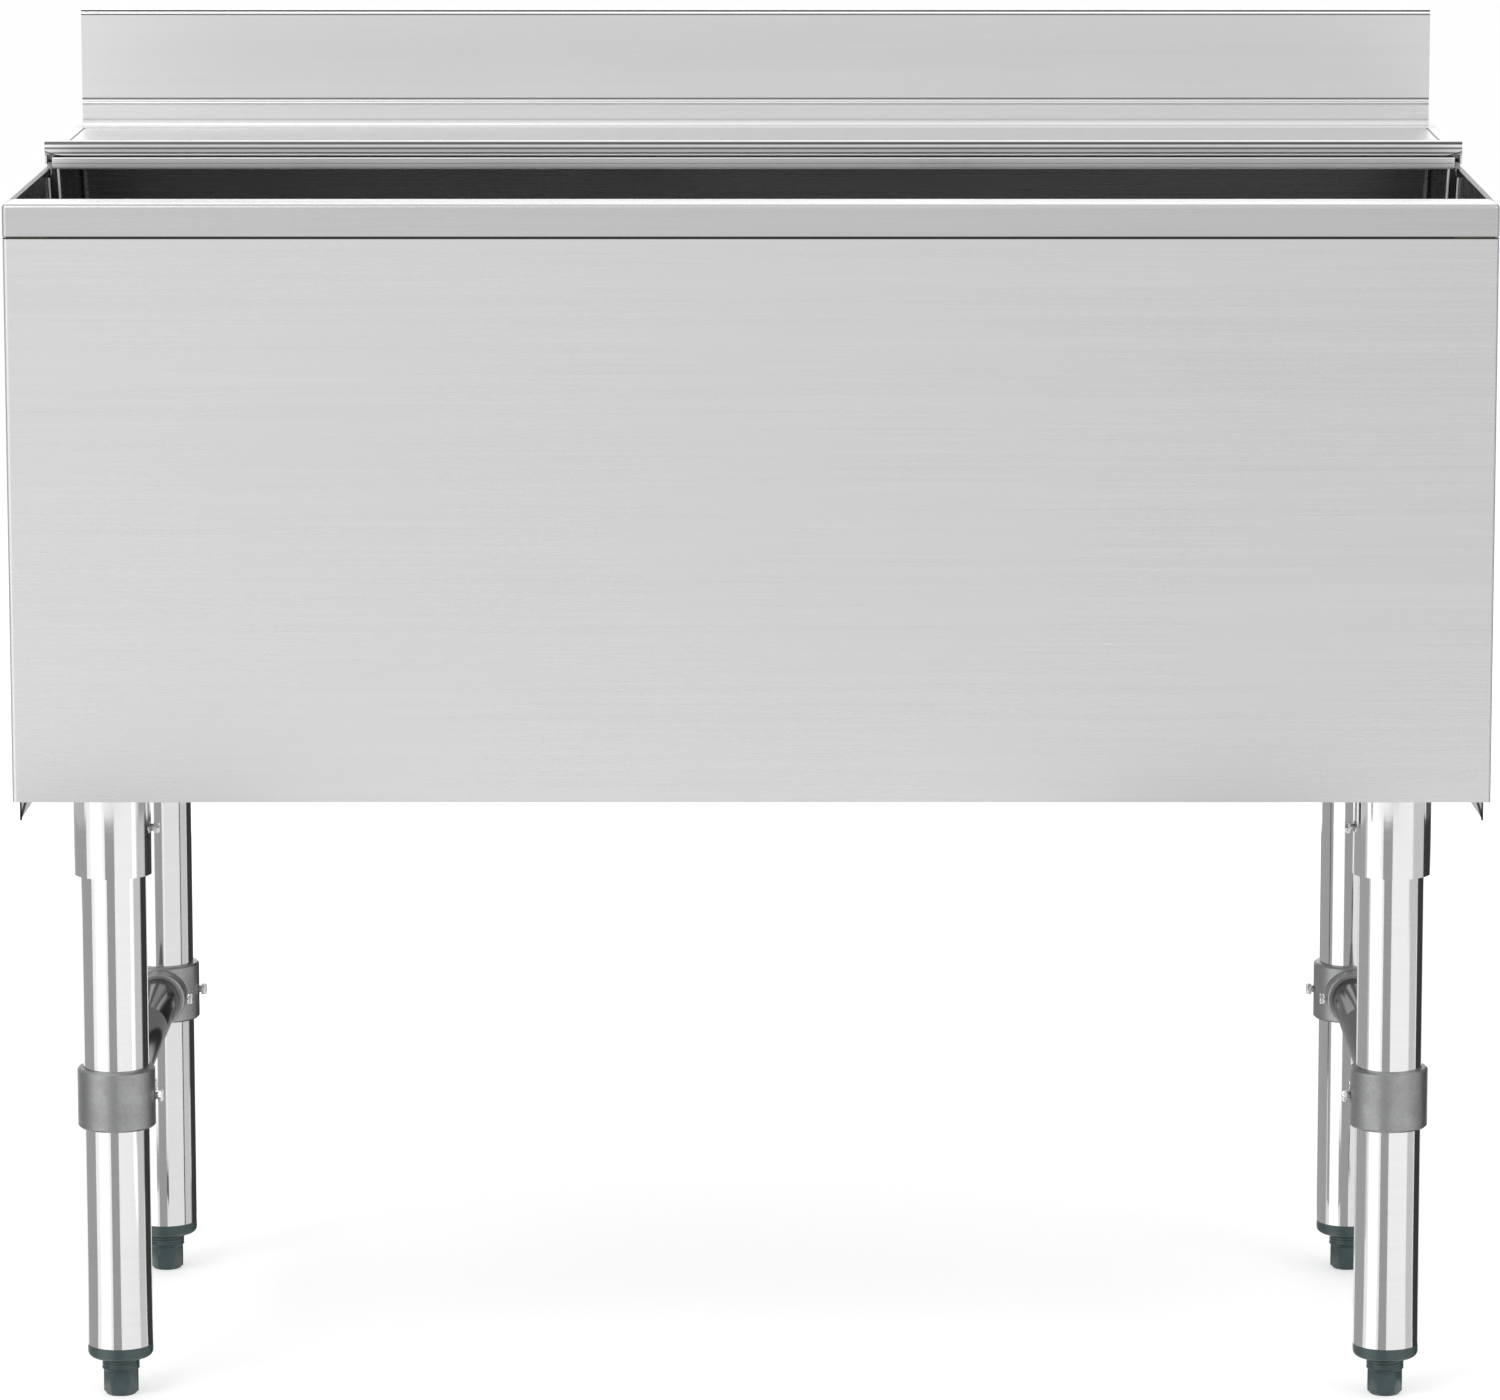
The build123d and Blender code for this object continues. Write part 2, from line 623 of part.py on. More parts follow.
# Rear deck: stepped nose over the tub, flat shelf, coved upstand against the backsplash
def rear_deck():
    half = HALF_WIDTH - DECK_INSET
    nose = NOSE
    upstand = UPSTAND
    step_z = DECK_TOP - NOSE_UPPER
    low = step_z - NOSE_LOWER
    shelf = block(-half, half, nose, upstand, DECK_TOP - SHEET, DECK_TOP)
    shelf += block(-half, half, nose, nose + SHEET, step_z, DECK_TOP)
    shelf += block(-half, half, nose, nose + NOSE_STEP + SHEET, step_z - SHEET, step_z)
    lower_face = nose + NOSE_STEP
    shelf += block(-half, half, lower_face, lower_face + SHEET, low, step_z)
    shelf += block(-half, half, lower_face, lower_face + NOSE_LIP, low - SHEET, low)
    shelf = fillet(nose_edges(shelf, nose + NOSE_STEP), radius=NOSE_ROUND)
    side_low = DECK_TOP - DECK_SIDE_DROP
    side_front = lower_face + BRACKET_DEPTH
    side_back = LINER_REAR - LINER_CORNER
    for x in (-half, half - SHEET):
        shelf += block(x, x + SHEET, side_front, side_back, side_low, DECK_TOP)
    back = upstand + SHEET
    inner = half - SPLASH_INSET + DECK_INSET
    rise = block(-inner, inner, upstand, back, DECK_TOP - SHEET, DECK_TOP + UPSTAND_HEIGHT)
    corner = block(
        -half, half, upstand - COVE_RADIUS, upstand, DECK_TOP, DECK_TOP + COVE_RADIUS
    )
    plane = Plane(
        origin=(-HALF_WIDTH, upstand - COVE_RADIUS, DECK_TOP + COVE_RADIUS), z_dir=(1, 0, 0)
    )
    corner -= extrude(plane * Circle(COVE_RADIUS), amount=WIDTH)
    bead_z = DECK_TOP + SPLASH_FOOT - UPSTAND_BEAD * 2
    bead_plane = Plane(origin=(-inner, upstand + UPSTAND_BEAD / 2, bead_z), z_dir=(1, 0, 0))
    bead = extrude(bead_plane * Circle(UPSTAND_BEAD), amount=inner * 2)
    bead -= block(-HALF_WIDTH, HALF_WIDTH, back, back + OVERRUN, RIM_HEIGHT, TOP)
    return shelf + rise + corner + bead


def nose_edges(shelf, limit):
    """The long front edges of the nose, forward of the limit."""
    long_edges = shelf.edges().filter_by(Axis.X)
    tops = [edge for edge in long_edges if abs(edge.center().Z - DECK_TOP) < NOSE_ROUND]
    lows = [edge for edge in long_edges if edge.center().Z < DECK_TOP - NOSE_UPPER - NOSE_LOWER]
    return [edge for edge in tops + lows if edge.center().Y < limit + NOSE_ROUND / 2]


# Deck bracket: an upright channel on each side wall that carries the end of the nose
def deck_bracket():
    angle_drop = LINER_TAPER / (LINER_TOP - LINER_FLOOR)
    high = DECK_TOP - NOSE_UPPER - NOSE_LOWER - SHEET
    low = high - BRACKET_HEIGHT
    front = NOSE + NOSE_STEP
    back = front + BRACKET_DEPTH

    def slanted(near, far, y0, y1):
        """A slab against the tapered wall, near and far from it, between two depths."""
        wall_high = LINER_HALF - angle_drop * (LINER_TOP - high)
        wall_low = LINER_HALF - angle_drop * (LINER_TOP - low)
        outline = Polyline(
            (wall_high - near, high),
            (wall_high - far, high),
            (wall_low - far, low),
            (wall_low - near, low),
            close=True,
        )
        return along_y(make_face(outline), y0, y1)

    bracket = slanted(BRACKET_GAP, BRACKET_WIDTH, back - BRACKET_SHEET, back)
    bracket += slanted(BRACKET_GAP, BRACKET_SHEET, front, back)
    bracket += slanted(BRACKET_WIDTH - BRACKET_SHEET, BRACKET_WIDTH, front, back)
    lips = [face for face in bracket.faces() if abs(face.center().Y - front) < BRACKET_ROUND / 2]
    upright = [edge for lip in lips for edge in lip.edges() if edge.length > BRACKET_HEIGHT / 2]
    glide_path = block(
        LINER_HALF - GLIDE_SIDE_GAP - SHEET - GLIDE_CLEARANCE,
        HALF_WIDTH,
        front - OVERRUN,
        back + OVERRUN,
        RIM_HEIGHT - GLIDE_LIP - GLIDE_CLEARANCE,
        TOP,
    )
    return fillet(upright, radius=BRACKET_ROUND) - glide_path


# Backsplash: face with a hemmed foot, top return and rear hem, closed by end plates
def splash_face():
    """The plane of the backsplash's front."""
    return UPSTAND - SPLASH_OFFSET


def backsplash():
    half = HALF_WIDTH - SPLASH_INSET
    face = splash_face()
    foot = DECK_TOP + SPLASH_FOOT
    points = [
        (face, foot),
        (face, TOP),
        (REAR, TOP),
        (REAR, TOP - SPLASH_REAR_DROP),
    ]
    panel = along_x(folded(points, Side.RIGHT), -half, half)
    hem_edges = panel.edges().filter_by(Axis.X).sort_by(Axis.Z)[0:2]
    return fillet(hem_edges, radius=SHEET / 2 - SEAT_GAP / 2)


def splash_end():
    x1 = HALF_WIDTH - SPLASH_INSET - SEAT_GAP
    x0 = x1 - SHEET
    y0 = UPSTAND + SHEET
    rear = REAR - SHEET
    return block(x0, x1, y0, rear, DECK_TOP, TOP - SHEET - BEND)


# Lid: a flat panel with a raised, beaded front edge that serves as its grip
def lid_half():
    """Half the width of the lid."""
    return HALF_WIDTH - LID_INSET


def lid_panel():
    half = lid_half()
    front = LID_FRONT
    rear = LID_REAR
    top = LID_UNDERSIDE + SHEET
    bead_z = top + LID_FRONT_RISE + LID_BEAD / 2
    points = [(rear, LID_UNDERSIDE), (front, LID_UNDERSIDE), (front, bead_z)]
    panel = along_x(folded(points, Side.RIGHT), -half, half)
    plane = Plane(origin=(-half, front + LID_BEAD / 2, bead_z), z_dir=(1, 0, 0))
    bead = extrude(plane * Circle(LID_BEAD / 2), amount=half * 2)
    hollow = extrude(plane * Circle(LID_BEAD / 2 - SHEET), amount=half * 2)
    panel = panel - hollow + (bead - hollow)
    low = LID_UNDERSIDE - LID_SIDE_FLANGE
    for x in (-half, half - SHEET):
        panel += block(x, x + SHEET, front + SHEET, rear, low, top)
    return panel


# Glides: four plastic blocks under the lid's side flanges, lipped inside the rim
def lid_glides():
    outer = lid_half()
    top = LID_UNDERSIDE - LID_SIDE_FLANGE
    front = LID_FRONT + GLIDE_INSET
    rear = LID_REAR - GLIDE_INSET - GLIDE_LENGTH
    glides = []
    for y in (front, rear):
        inner = LINER_HALF - GLIDE_SIDE_GAP
        pad = block(inner, outer, y, y + GLIDE_LENGTH, RIM_HEIGHT + GLIDE_CLEARANCE, top)
        lip = block(
            inner - SHEET, inner, y, y + GLIDE_LENGTH, RIM_HEIGHT - GLIDE_LIP, top
        )
        glide = pad + lip
        glides += [glide, mirror(glide, about=Plane.YZ)]
    return Compound(children=glides)


# Drain: flanged body in the tub's floor, gasket and locknut below, tailpiece for the pipe
def drain():
    flange_top = LINER_FLOOR + DRAIN_FLANGE_THICKNESS
    neck_low = LINER_FLOOR - SHEET - GASKET_THICKNESS - LOCKNUT_HEIGHT
    tail_top = neck_low + TAILPIECE_SHOULDER
    tail_low = PAN_UNDERSIDE - TAILPIECE_REACH
    body = rod(0, DRAIN_Y, LINER_FLOOR, flange_top, DRAIN_FLANGE_DIAMETER)
    body = chamfer(
        body.edges().filter_by(GeomType.CIRCLE).sort_by(Axis.Z)[-1],
        length=DRAIN_FLANGE_THICKNESS / 2,
    )
    body += rod(0, DRAIN_Y, neck_low, LINER_FLOOR, DRAIN_NECK_DIAMETER)
    body -= rod(0, DRAIN_Y, tail_top, flange_top + OVERRUN, DRAIN_BORE_DIAMETER)
    body -= rod(0, DRAIN_Y, neck_low - OVERRUN, tail_top, TAILPIECE_DIAMETER + LEG_FIT * 2)
    save("drain_body", body)

    gasket_top = LINER_FLOOR - SHEET
    gasket_low = gasket_top - GASKET_THICKNESS
    hole = DRAIN_NECK_DIAMETER + LEG_FIT * 2
    gasket = rod(0, DRAIN_Y, gasket_low, gasket_top, LOCKNUT_WIDTH)
    save("drain_gasket", gasket - rod(0, DRAIN_Y, gasket_low, gasket_top, hole))

    nut = hex_bar(0, DRAIN_Y, gasket_low - LOCKNUT_HEIGHT, gasket_low, LOCKNUT_WIDTH)
    save("drain_locknut", nut - rod(0, DRAIN_Y, gasket_low - LOCKNUT_HEIGHT, gasket_low, hole))

    tail = rod(0, DRAIN_Y, tail_low, tail_top, TAILPIECE_DIAMETER)
    collar_low = tail_low + TAILPIECE_THREAD
    collar_top = collar_low + TAILPIECE_COLLAR_HEIGHT
    tail += rod(0, DRAIN_Y, collar_low, collar_top, TAILPIECE_COLLAR)
    tail_bore = TAILPIECE_DIAMETER - TAILPIECE_WALL * 2
    save("drain_tailpiece", tail - rod(0, DRAIN_Y, tail_low, tail_top, tail_bore))


# Strainer: a perforated cup that drops into the drain, lifted by a small knob
def drain_strainer():
    rim_low = LINER_FLOOR + DRAIN_FLANGE_THICKNESS + FOAM_GAP
    rim_top = rim_low + STRAINER_SHEET
    cup_low = rim_top - STRAINER_DROP
    body = rod(0, DRAIN_Y, rim_low, rim_top, STRAINER_RIM_DIAMETER)
    body += rod(0, DRAIN_Y, cup_low, rim_top, STRAINER_DIAMETER)
    inner = STRAINER_DIAMETER - STRAINER_SHEET * 2
    body -= rod(0, DRAIN_Y, cup_low + STRAINER_SHEET, rim_top + OVERRUN, inner)
    knob_top = rim_top + STRAINER_KNOB
    body += rod(0, DRAIN_Y, cup_low, knob_top, STRAINER_KNOB)
    knob_rim = body.edges().filter_by(GeomType.CIRCLE).sort_by(Axis.Z)[-1]
    body = fillet(knob_rim, radius=STRAINER_SHEET)
    ring = STRAINER_DIAMETER / 2 * STRAINER_RING_SHARE
    for place in PolarLocations(ring, STRAINER_HOLES):
        hole = rod(0, DRAIN_Y, cup_low - OVERRUN, cup_low + OVERRUN, STRAINER_HOLE)
        body -= Pos(place.position.X, place.position.Y, 0) * hole
    return body


def main():
    os.makedirs("parts", exist_ok=True)
    save("front_rim", front_rim())
    save_pair("side_rim", side_rim())
    save("front_apron", front_apron())
    save_pair("side_panel", side_panel())
    save("rear_panel", rear_panel())
    save("ice_liner", ice_liner())
    insulation()
    save("bottom_pan", bottom_pan())
    save("corner_tabs", corner_tabs())
    save_pair("leg_channel", leg_channel())
    save("rear_deck", rear_deck())
    save_pair("deck_bracket", deck_bracket())
    save("backsplash", backsplash())
    save_pair("backsplash_end", splash_end())
    save("lid_panel", lid_panel())
    save("lid_glides", lid_glides())
    drain()
    save("drain_strainer", drain_strainer())
    for place, (x, y) in LEG_PLACES.items():
        save(f"leg_socket_{place}", leg_socket(x, y))
        save(f"leg_tube_{place}", leg_tube(x, y))
        save(f"rail_clamp_{place}", rail_clamp(x, y))
        save(f"foot_insert_{place}", foot_insert(x, y))
        save(f"bullet_foot_{place}", bullet_foot(x, y))
    save_pair("cross_rail", cross_rail())
    save("socket_bolts", socket_bolts())
    save("socket_set_screws", socket_screws())
    save("clamp_set_screws", clamp_screws())


main()
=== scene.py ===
"""Underbar ice bin: finishes, close-up pieces, light and camera of its visual model."""

from __future__ import annotations

import logging
import math
from dataclasses import dataclass, replace
from enum import Enum

import bpy
import numpy as np
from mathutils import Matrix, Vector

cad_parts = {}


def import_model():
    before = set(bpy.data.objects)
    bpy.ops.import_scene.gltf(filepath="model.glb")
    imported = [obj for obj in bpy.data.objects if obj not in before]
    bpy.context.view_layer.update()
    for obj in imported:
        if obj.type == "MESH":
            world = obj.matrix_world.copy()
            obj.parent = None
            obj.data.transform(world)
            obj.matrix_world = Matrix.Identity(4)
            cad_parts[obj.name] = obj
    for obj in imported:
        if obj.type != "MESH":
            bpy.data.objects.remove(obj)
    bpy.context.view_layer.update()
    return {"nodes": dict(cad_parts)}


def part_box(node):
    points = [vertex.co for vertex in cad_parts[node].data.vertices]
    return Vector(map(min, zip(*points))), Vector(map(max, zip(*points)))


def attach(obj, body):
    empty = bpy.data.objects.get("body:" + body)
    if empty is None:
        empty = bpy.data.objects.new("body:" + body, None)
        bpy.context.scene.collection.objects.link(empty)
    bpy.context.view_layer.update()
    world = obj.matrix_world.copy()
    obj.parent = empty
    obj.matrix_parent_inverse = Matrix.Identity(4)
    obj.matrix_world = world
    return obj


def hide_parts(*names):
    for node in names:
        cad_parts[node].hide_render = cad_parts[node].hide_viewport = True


LOG = logging.getLogger("ice_bin")
MM = 0.001
PHOTO_WIDTH = 1500.0
PLACES = ("front_left", "front_right", "rear_left", "rear_right")
SIDES = ("left", "right")

Color = tuple[float, float, float]
Triple = tuple[float, float, float]

ACROSS = (1.0, 0.0, 0.0)
UPWARD = (0.0, 0.0, 1.0)


class Lay(Enum):
    """The way a worked surface's fine lines run, as how fast they change along X, Y and Z."""

    ALONG_WIDTH = (1.0, 160.0, 160.0)
    ALONG_DEPTH = (160.0, 1.0, 160.0)
    ALONG_HEIGHT = (160.0, 160.0, 1.0)
    ROUND_UPRIGHT = (1.0, 1.0, 260.0)
    ROUND_RAIL = (1.0, 260.0, 1.0)


# Node tools


class Nodes:
    """A node tree with short ways to add and join nodes."""

    def __init__(self, tree: bpy.types.NodeTree) -> None:
        """Keeps the tree that nodes are added to."""
        self.tree = tree

    def add(self, kind: str, settings: dict[str, object] | None = None,
            **values: object) -> bpy.types.Node:
        """Adds a node.

        Args:
            kind: the node's type name.
            settings: the node's own properties, such as an operation.
            values: constants for its input sockets, with _ for a space in a name.

        Returns:
            The new node.
        """
        node = self.tree.nodes.new(kind)
        for name, value in (settings or {}).items():
            setattr(node, name, value)
        for name, value in values.items():
            node.inputs[name.replace("_", " ")].default_value = value
        return node

    def join(self, source: bpy.types.NodeSocket, target: bpy.types.NodeSocket) -> None:
        """Links an output to an input."""
        self.tree.links.new(source, target)

    def math(self, operation: str, first: object, second: object = 0.0) -> bpy.types.NodeSocket:
        """Adds a Math node.

        Args:
            operation: the Math node's operation.
            first: a socket or a number.
            second: a socket or a number.

        Returns:
            The node's output.
        """
        node = self.add("ShaderNodeMath", {"operation": operation})
        for socket, value in zip(node.inputs, (first, second)):
            if isinstance(value, bpy.types.NodeSocket):
                self.join(value, socket)
            else:
                socket.default_value = value
        return node.outputs[0]

    def weigh(self, first: bpy.types.NodeSocket, second: bpy.types.NodeSocket,
              share: float) -> bpy.types.NodeSocket:
        """Adds two values, the first by its share and the second by the rest."""
        return self.math("ADD", self.math("MULTIPLY", first, share),
                         self.math("MULTIPLY", second, 1.0 - share))

    def spread(self, value: bpy.types.NodeSocket, low: object, high: object,
               start: float = 0.3, end: float = 0.7) -> bpy.types.NodeSocket:
        """Carries a value's range over to another range.

        Args:
            value: the socket to carry over.
            low: the result at start, a socket or a number.
            high: the result at end, a socket or a number.
            start: where the value's range begins.
            end: where the value's range ends.

        Returns:
            The result's socket.
        """
        node = self.add("ShaderNodeMapRange", From_Min=start, From_Max=end)
        self.join(value, node.inputs["Value"])
        for name, limit in (("To Min", low), ("To Max", high)):
            if isinstance(limit, bpy.types.NodeSocket):
                self.join(limit, node.inputs[name])
            else:
                node.inputs[name].default_value = limit
        return node.outputs["Result"]

    def blend(self, factor: bpy.types.NodeSocket, first: bpy.types.NodeSocket,
              second: bpy.types.NodeSocket) -> bpy.types.NodeSocket:
        """Mixes two colours.

        Args:
            factor: how much of the second colour shows.
            first: the first colour.
            second: the second colour.

        Returns:
            The mixed colour.
        """
        node = self.add("ShaderNodeMix", {"data_type": "RGBA"})
        self.join(factor, node.inputs[0])
        self.join(first, node.inputs[6])
        self.join(second, node.inputs[7])
        return node.outputs[2]

    def noise(self, place: bpy.types.NodeSocket, scale: float, detail: float,
              roughness: float = 0.5) -> bpy.types.NodeSocket:
        """Adds a noise read at a place.

        Args:
            place: the vector that the noise is read at.
            scale: its frequency.
            detail: its octaves.
            roughness: how strong the finer octaves are.

        Returns:
            The noise's value.
        """
        node = self.add("ShaderNodeTexNoise", Scale=scale, Detail=detail, Roughness=roughness)
        self.join(place, node.inputs["Vector"])
        return node.outputs["Fac"]


@dataclass(frozen=True)
class GroupSocket:
    """One named input of a node group, with its kind and starting value."""

    name: str
    kind: str
    value: object


COLOR_OUTPUT = ("Color", "NodeSocketColor")
OUTPUTS = (COLOR_OUTPUT, ("Roughness", "NodeSocketFloat"), ("Height", "NodeSocketFloat"))
GREY = (0.5, 0.5, 0.5, 1.0)


def new_group(name: str, inputs: tuple[GroupSocket, ...],
              outputs: tuple[tuple[str, str], ...]) -> bpy.types.NodeTree:
    """Makes a shader node group with named sockets.

    Args:
        name: the group's name.
        inputs: its inputs.
        outputs: the names and kinds of its outputs.

    Returns:
        The group.
    """
    tree = bpy.data.node_groups.new(name, "ShaderNodeTree")
    for item in inputs:
        made = tree.interface.new_socket(item.name, in_out="INPUT", socket_type=item.kind)
        made.default_value = item.value
    for output, kind in outputs:
        tree.interface.new_socket(output, in_out="OUTPUT", socket_type=kind)
    return tree


class SurfaceGroup:
    """A shader node group that gives a surface its colour, roughness and height."""

    name = "surface"
    extra: tuple[GroupSocket, ...] = ()

    def __init__(self) -> None:
        """Makes the group with its sockets and fills it."""
        common = (GroupSocket("Light", "NodeSocketColor", GREY),
                  GroupSocket("Dark", "NodeSocketColor", GREY),
                  GroupSocket("Smooth", "NodeSocketFloat", 0.3),
                  GroupSocket("Rough", "NodeSocketFloat", 0.4))
        self.tree = new_group(self.name, common + self.extra, OUTPUTS)
        nodes = Nodes(self.tree)
        source = nodes.add("NodeGroupInput")
        target = nodes.add("NodeGroupOutput")
        place = nodes.add("ShaderNodeTexCoord").outputs["Object"]
        self.fill(nodes, source.outputs, target.inputs, place)

    def fill(self, nodes: Nodes, given: bpy.types.NodeOutputs, wanted: bpy.types.NodeInputs,
             place: bpy.types.NodeSocket) -> None:
        """Joins the group's input to its output.

        Args:
            nodes: the group's nodes.
            given: the group's inputs.
            wanted: the group's outputs.
            place: object coordinates.
        """
        raise NotImplementedError


class LinedSurface(SurfaceGroup):
    """Fine lines from brushing, polishing or turning, under faint handling marks."""

    name = "lined_surface"
    fine_share = 0.65
    line_share = 0.6
    broad_scale = 0.17
    extra = (GroupSocket("Lines", "NodeSocketVector", (1.0, 1.0, 1.0)),
             GroupSocket("Line Frequency", "NodeSocketFloat", 5.0),
             GroupSocket("Mark Frequency", "NodeSocketFloat", 5.0),
             GroupSocket("Marks", "NodeSocketFloat", 0.2))

    def fill(self, nodes: Nodes, given: bpy.types.NodeOutputs, wanted: bpy.types.NodeInputs,
             place: bpy.types.NodeSocket) -> None:
        """Two stretched noises make the lines, and a round one makes the marks."""
        stretch = nodes.add("ShaderNodeVectorMath", {"operation": "MULTIPLY"})
        nodes.join(place, stretch.inputs[0])
        nodes.join(given["Lines"], stretch.inputs[1])
        along = nodes.add("ShaderNodeVectorMath", {"operation": "SCALE"})
        nodes.join(stretch.outputs[0], along.inputs[0])
        nodes.join(given["Line Frequency"], along.inputs["Scale"])
        fine = nodes.noise(along.outputs[0], 1.0, 3.0, 0.65)
        broad = nodes.noise(along.outputs[0], self.broad_scale, 2.0, 0.5)
        lines = nodes.weigh(fine, broad, self.fine_share)
        spot = nodes.add("ShaderNodeVectorMath", {"operation": "SCALE"})
        nodes.join(place, spot.inputs[0])
        nodes.join(given["Mark Frequency"], spot.inputs["Scale"])
        marks = nodes.noise(spot.outputs[0], 1.0, 4.0, 0.6)
        worn = nodes.math("MULTIPLY", nodes.spread(marks, 0.0, 1.0, 0.45, 0.7), given["Marks"])
        tone = nodes.math("SUBTRACT", nodes.spread(lines, 0.0, 1.0), worn)
        nodes.join(nodes.blend(tone, given["Dark"], given["Light"]), wanted["Color"])
        patchy = nodes.weigh(lines, marks, self.line_share)
        nodes.join(nodes.spread(patchy, given["Smooth"], given["Rough"], 0.35, 0.65),
                   wanted["Roughness"])
        nodes.join(lines, wanted["Height"])


class PebbledSurface(SurfaceGroup):
    """The skin of a casting or a moulding: soft swells, fine pits and a worn tone."""

    name = "pebbled_surface"
    swell_share = 0.6
    extra = (GroupSocket("Pit Frequency", "NodeSocketFloat", 900.0),
             GroupSocket("Swell Frequency", "NodeSocketFloat", 90.0),
             GroupSocket("Pits", "NodeSocketFloat", 0.5))

    def fill(self, nodes: Nodes, given: bpy.types.NodeOutputs, wanted: bpy.types.NodeInputs,
             place: bpy.types.NodeSocket) -> None:
        """Cells make the pits, and a slow noise makes the swells and the tone."""
        near = nodes.add("ShaderNodeVectorMath", {"operation": "SCALE"})
        nodes.join(place, near.inputs[0])
        nodes.join(given["Pit Frequency"], near.inputs["Scale"])
        cells = nodes.add("ShaderNodeTexVoronoi", {"feature": "SMOOTH_F1"},
                          Scale=1.0, Smoothness=0.6)
        nodes.join(near.outputs[0], cells.inputs["Vector"])
        grit = nodes.noise(near.outputs[0], 0.6, 3.0, 0.6)
        far = nodes.add("ShaderNodeVectorMath", {"operation": "SCALE"})
        nodes.join(place, far.inputs[0])
        nodes.join(given["Swell Frequency"], far.inputs["Scale"])
        swells = nodes.noise(far.outputs[0], 1.0, 4.0, 0.55)
        pits = nodes.math("MULTIPLY", nodes.math("ADD", cells.outputs["Distance"], grit),
                          given["Pits"])
        height = nodes.math("ADD", swells, pits)
        tone = nodes.weigh(swells, grit, self.swell_share)
        nodes.join(nodes.blend(nodes.spread(tone, 0.0, 1.0), given["Dark"], given["Light"]),
                   wanted["Color"])
        nodes.join(nodes.spread(tone, given["Rough"], given["Smooth"]), wanted["Roughness"])
        nodes.join(height, wanted["Height"])


class PaintedLightTone:
    """A shader node group that multiplies a colour between two places along an axis, to paint
    shade (below 1) or light (above 1) into it.
    """

    name = "painted_light_tone"

    def __init__(self) -> None:
        """Makes the group: its sockets, the band's mask and the toned colour."""
        sockets = (GroupSocket("Color", "NodeSocketColor", GREY),
                   GroupSocket("Axis", "NodeSocketVector", UPWARD),
                   GroupSocket("Low", "NodeSocketFloat", 0.0),
                   GroupSocket("High", "NodeSocketFloat", 1.0),
                   GroupSocket("Soft", "NodeSocketFloat", 0.3 * MM),
                   GroupSocket("Tone", "NodeSocketFloat", 1.0))
        self.tree = new_group(self.name, sockets, (COLOR_OUTPUT,))
        nodes = Nodes(self.tree)
        given = nodes.add("NodeGroupInput").outputs
        wanted = nodes.add("NodeGroupOutput").inputs
        along = nodes.add("ShaderNodeVectorMath", {"operation": "DOT_PRODUCT"})
        nodes.join(nodes.add("ShaderNodeTexCoord").outputs["Object"], along.inputs[0])
        nodes.join(given["Axis"], along.inputs[1])
        place = along.outputs["Value"]
        above = self.edge(nodes, nodes.math("SUBTRACT", place, given["Low"]), given["Soft"])
        below = self.edge(nodes, nodes.math("SUBTRACT", given["High"], place), given["Soft"])
        band = nodes.math("MULTIPLY", above, below)
        change = nodes.math("MULTIPLY", band, nodes.math("SUBTRACT", given["Tone"], 1.0))
        toned = nodes.add("ShaderNodeVectorMath", {"operation": "SCALE"})
        nodes.join(given["Color"], toned.inputs[0])
        nodes.join(nodes.math("ADD", change, 1.0), toned.inputs["Scale"])
        nodes.join(toned.outputs[0], wanted["Color"])

    @staticmethod
    def edge(nodes: Nodes, past: bpy.types.NodeSocket,
             soft: bpy.types.NodeSocket) -> bpy.types.NodeSocket:
        """Rises from 0 to 1 across an end of the band.

        Args:
            nodes: the group's nodes.
            past: how far inside the end a point is, negative outside.
            soft: how wide the rise is.

        Returns:
            The share of the tone that a point gets.
        """
        rise = nodes.math("ADD", nodes.math("DIVIDE", past, soft), 0.5)
        return nodes.math("MINIMUM", nodes.math("MAXIMUM", rise, 0.0), 1.0)


# Finishes


def blank_material(name: str) -> tuple[bpy.types.Material, Nodes]:
    """Makes a material without nodes, and the tools that fill it."""
    made = bpy.data.materials.new(name)
    made.use_nodes = True
    made.node_tree.nodes.clear()
    return made, Nodes(made.node_tree)


@dataclass(frozen=True)
class PaintedLightBand:
    """A band along an axis where the colour is scaled to paint light or shade: painted shade and
    painted reflection lines where darker, painted highlights where brighter.
    """

    low: float
    high: float
    tone: float
    axis: Triple = UPWARD
    soft: float = 0.3 * MM

    def at_both_ends(self) -> tuple[PaintedLightBand, PaintedLightBand]:
        """Gives this painted band and its mirror image at the other end of the bin."""
        x, y, z = self.axis
        return self, replace(self, axis=(-x, y, z))


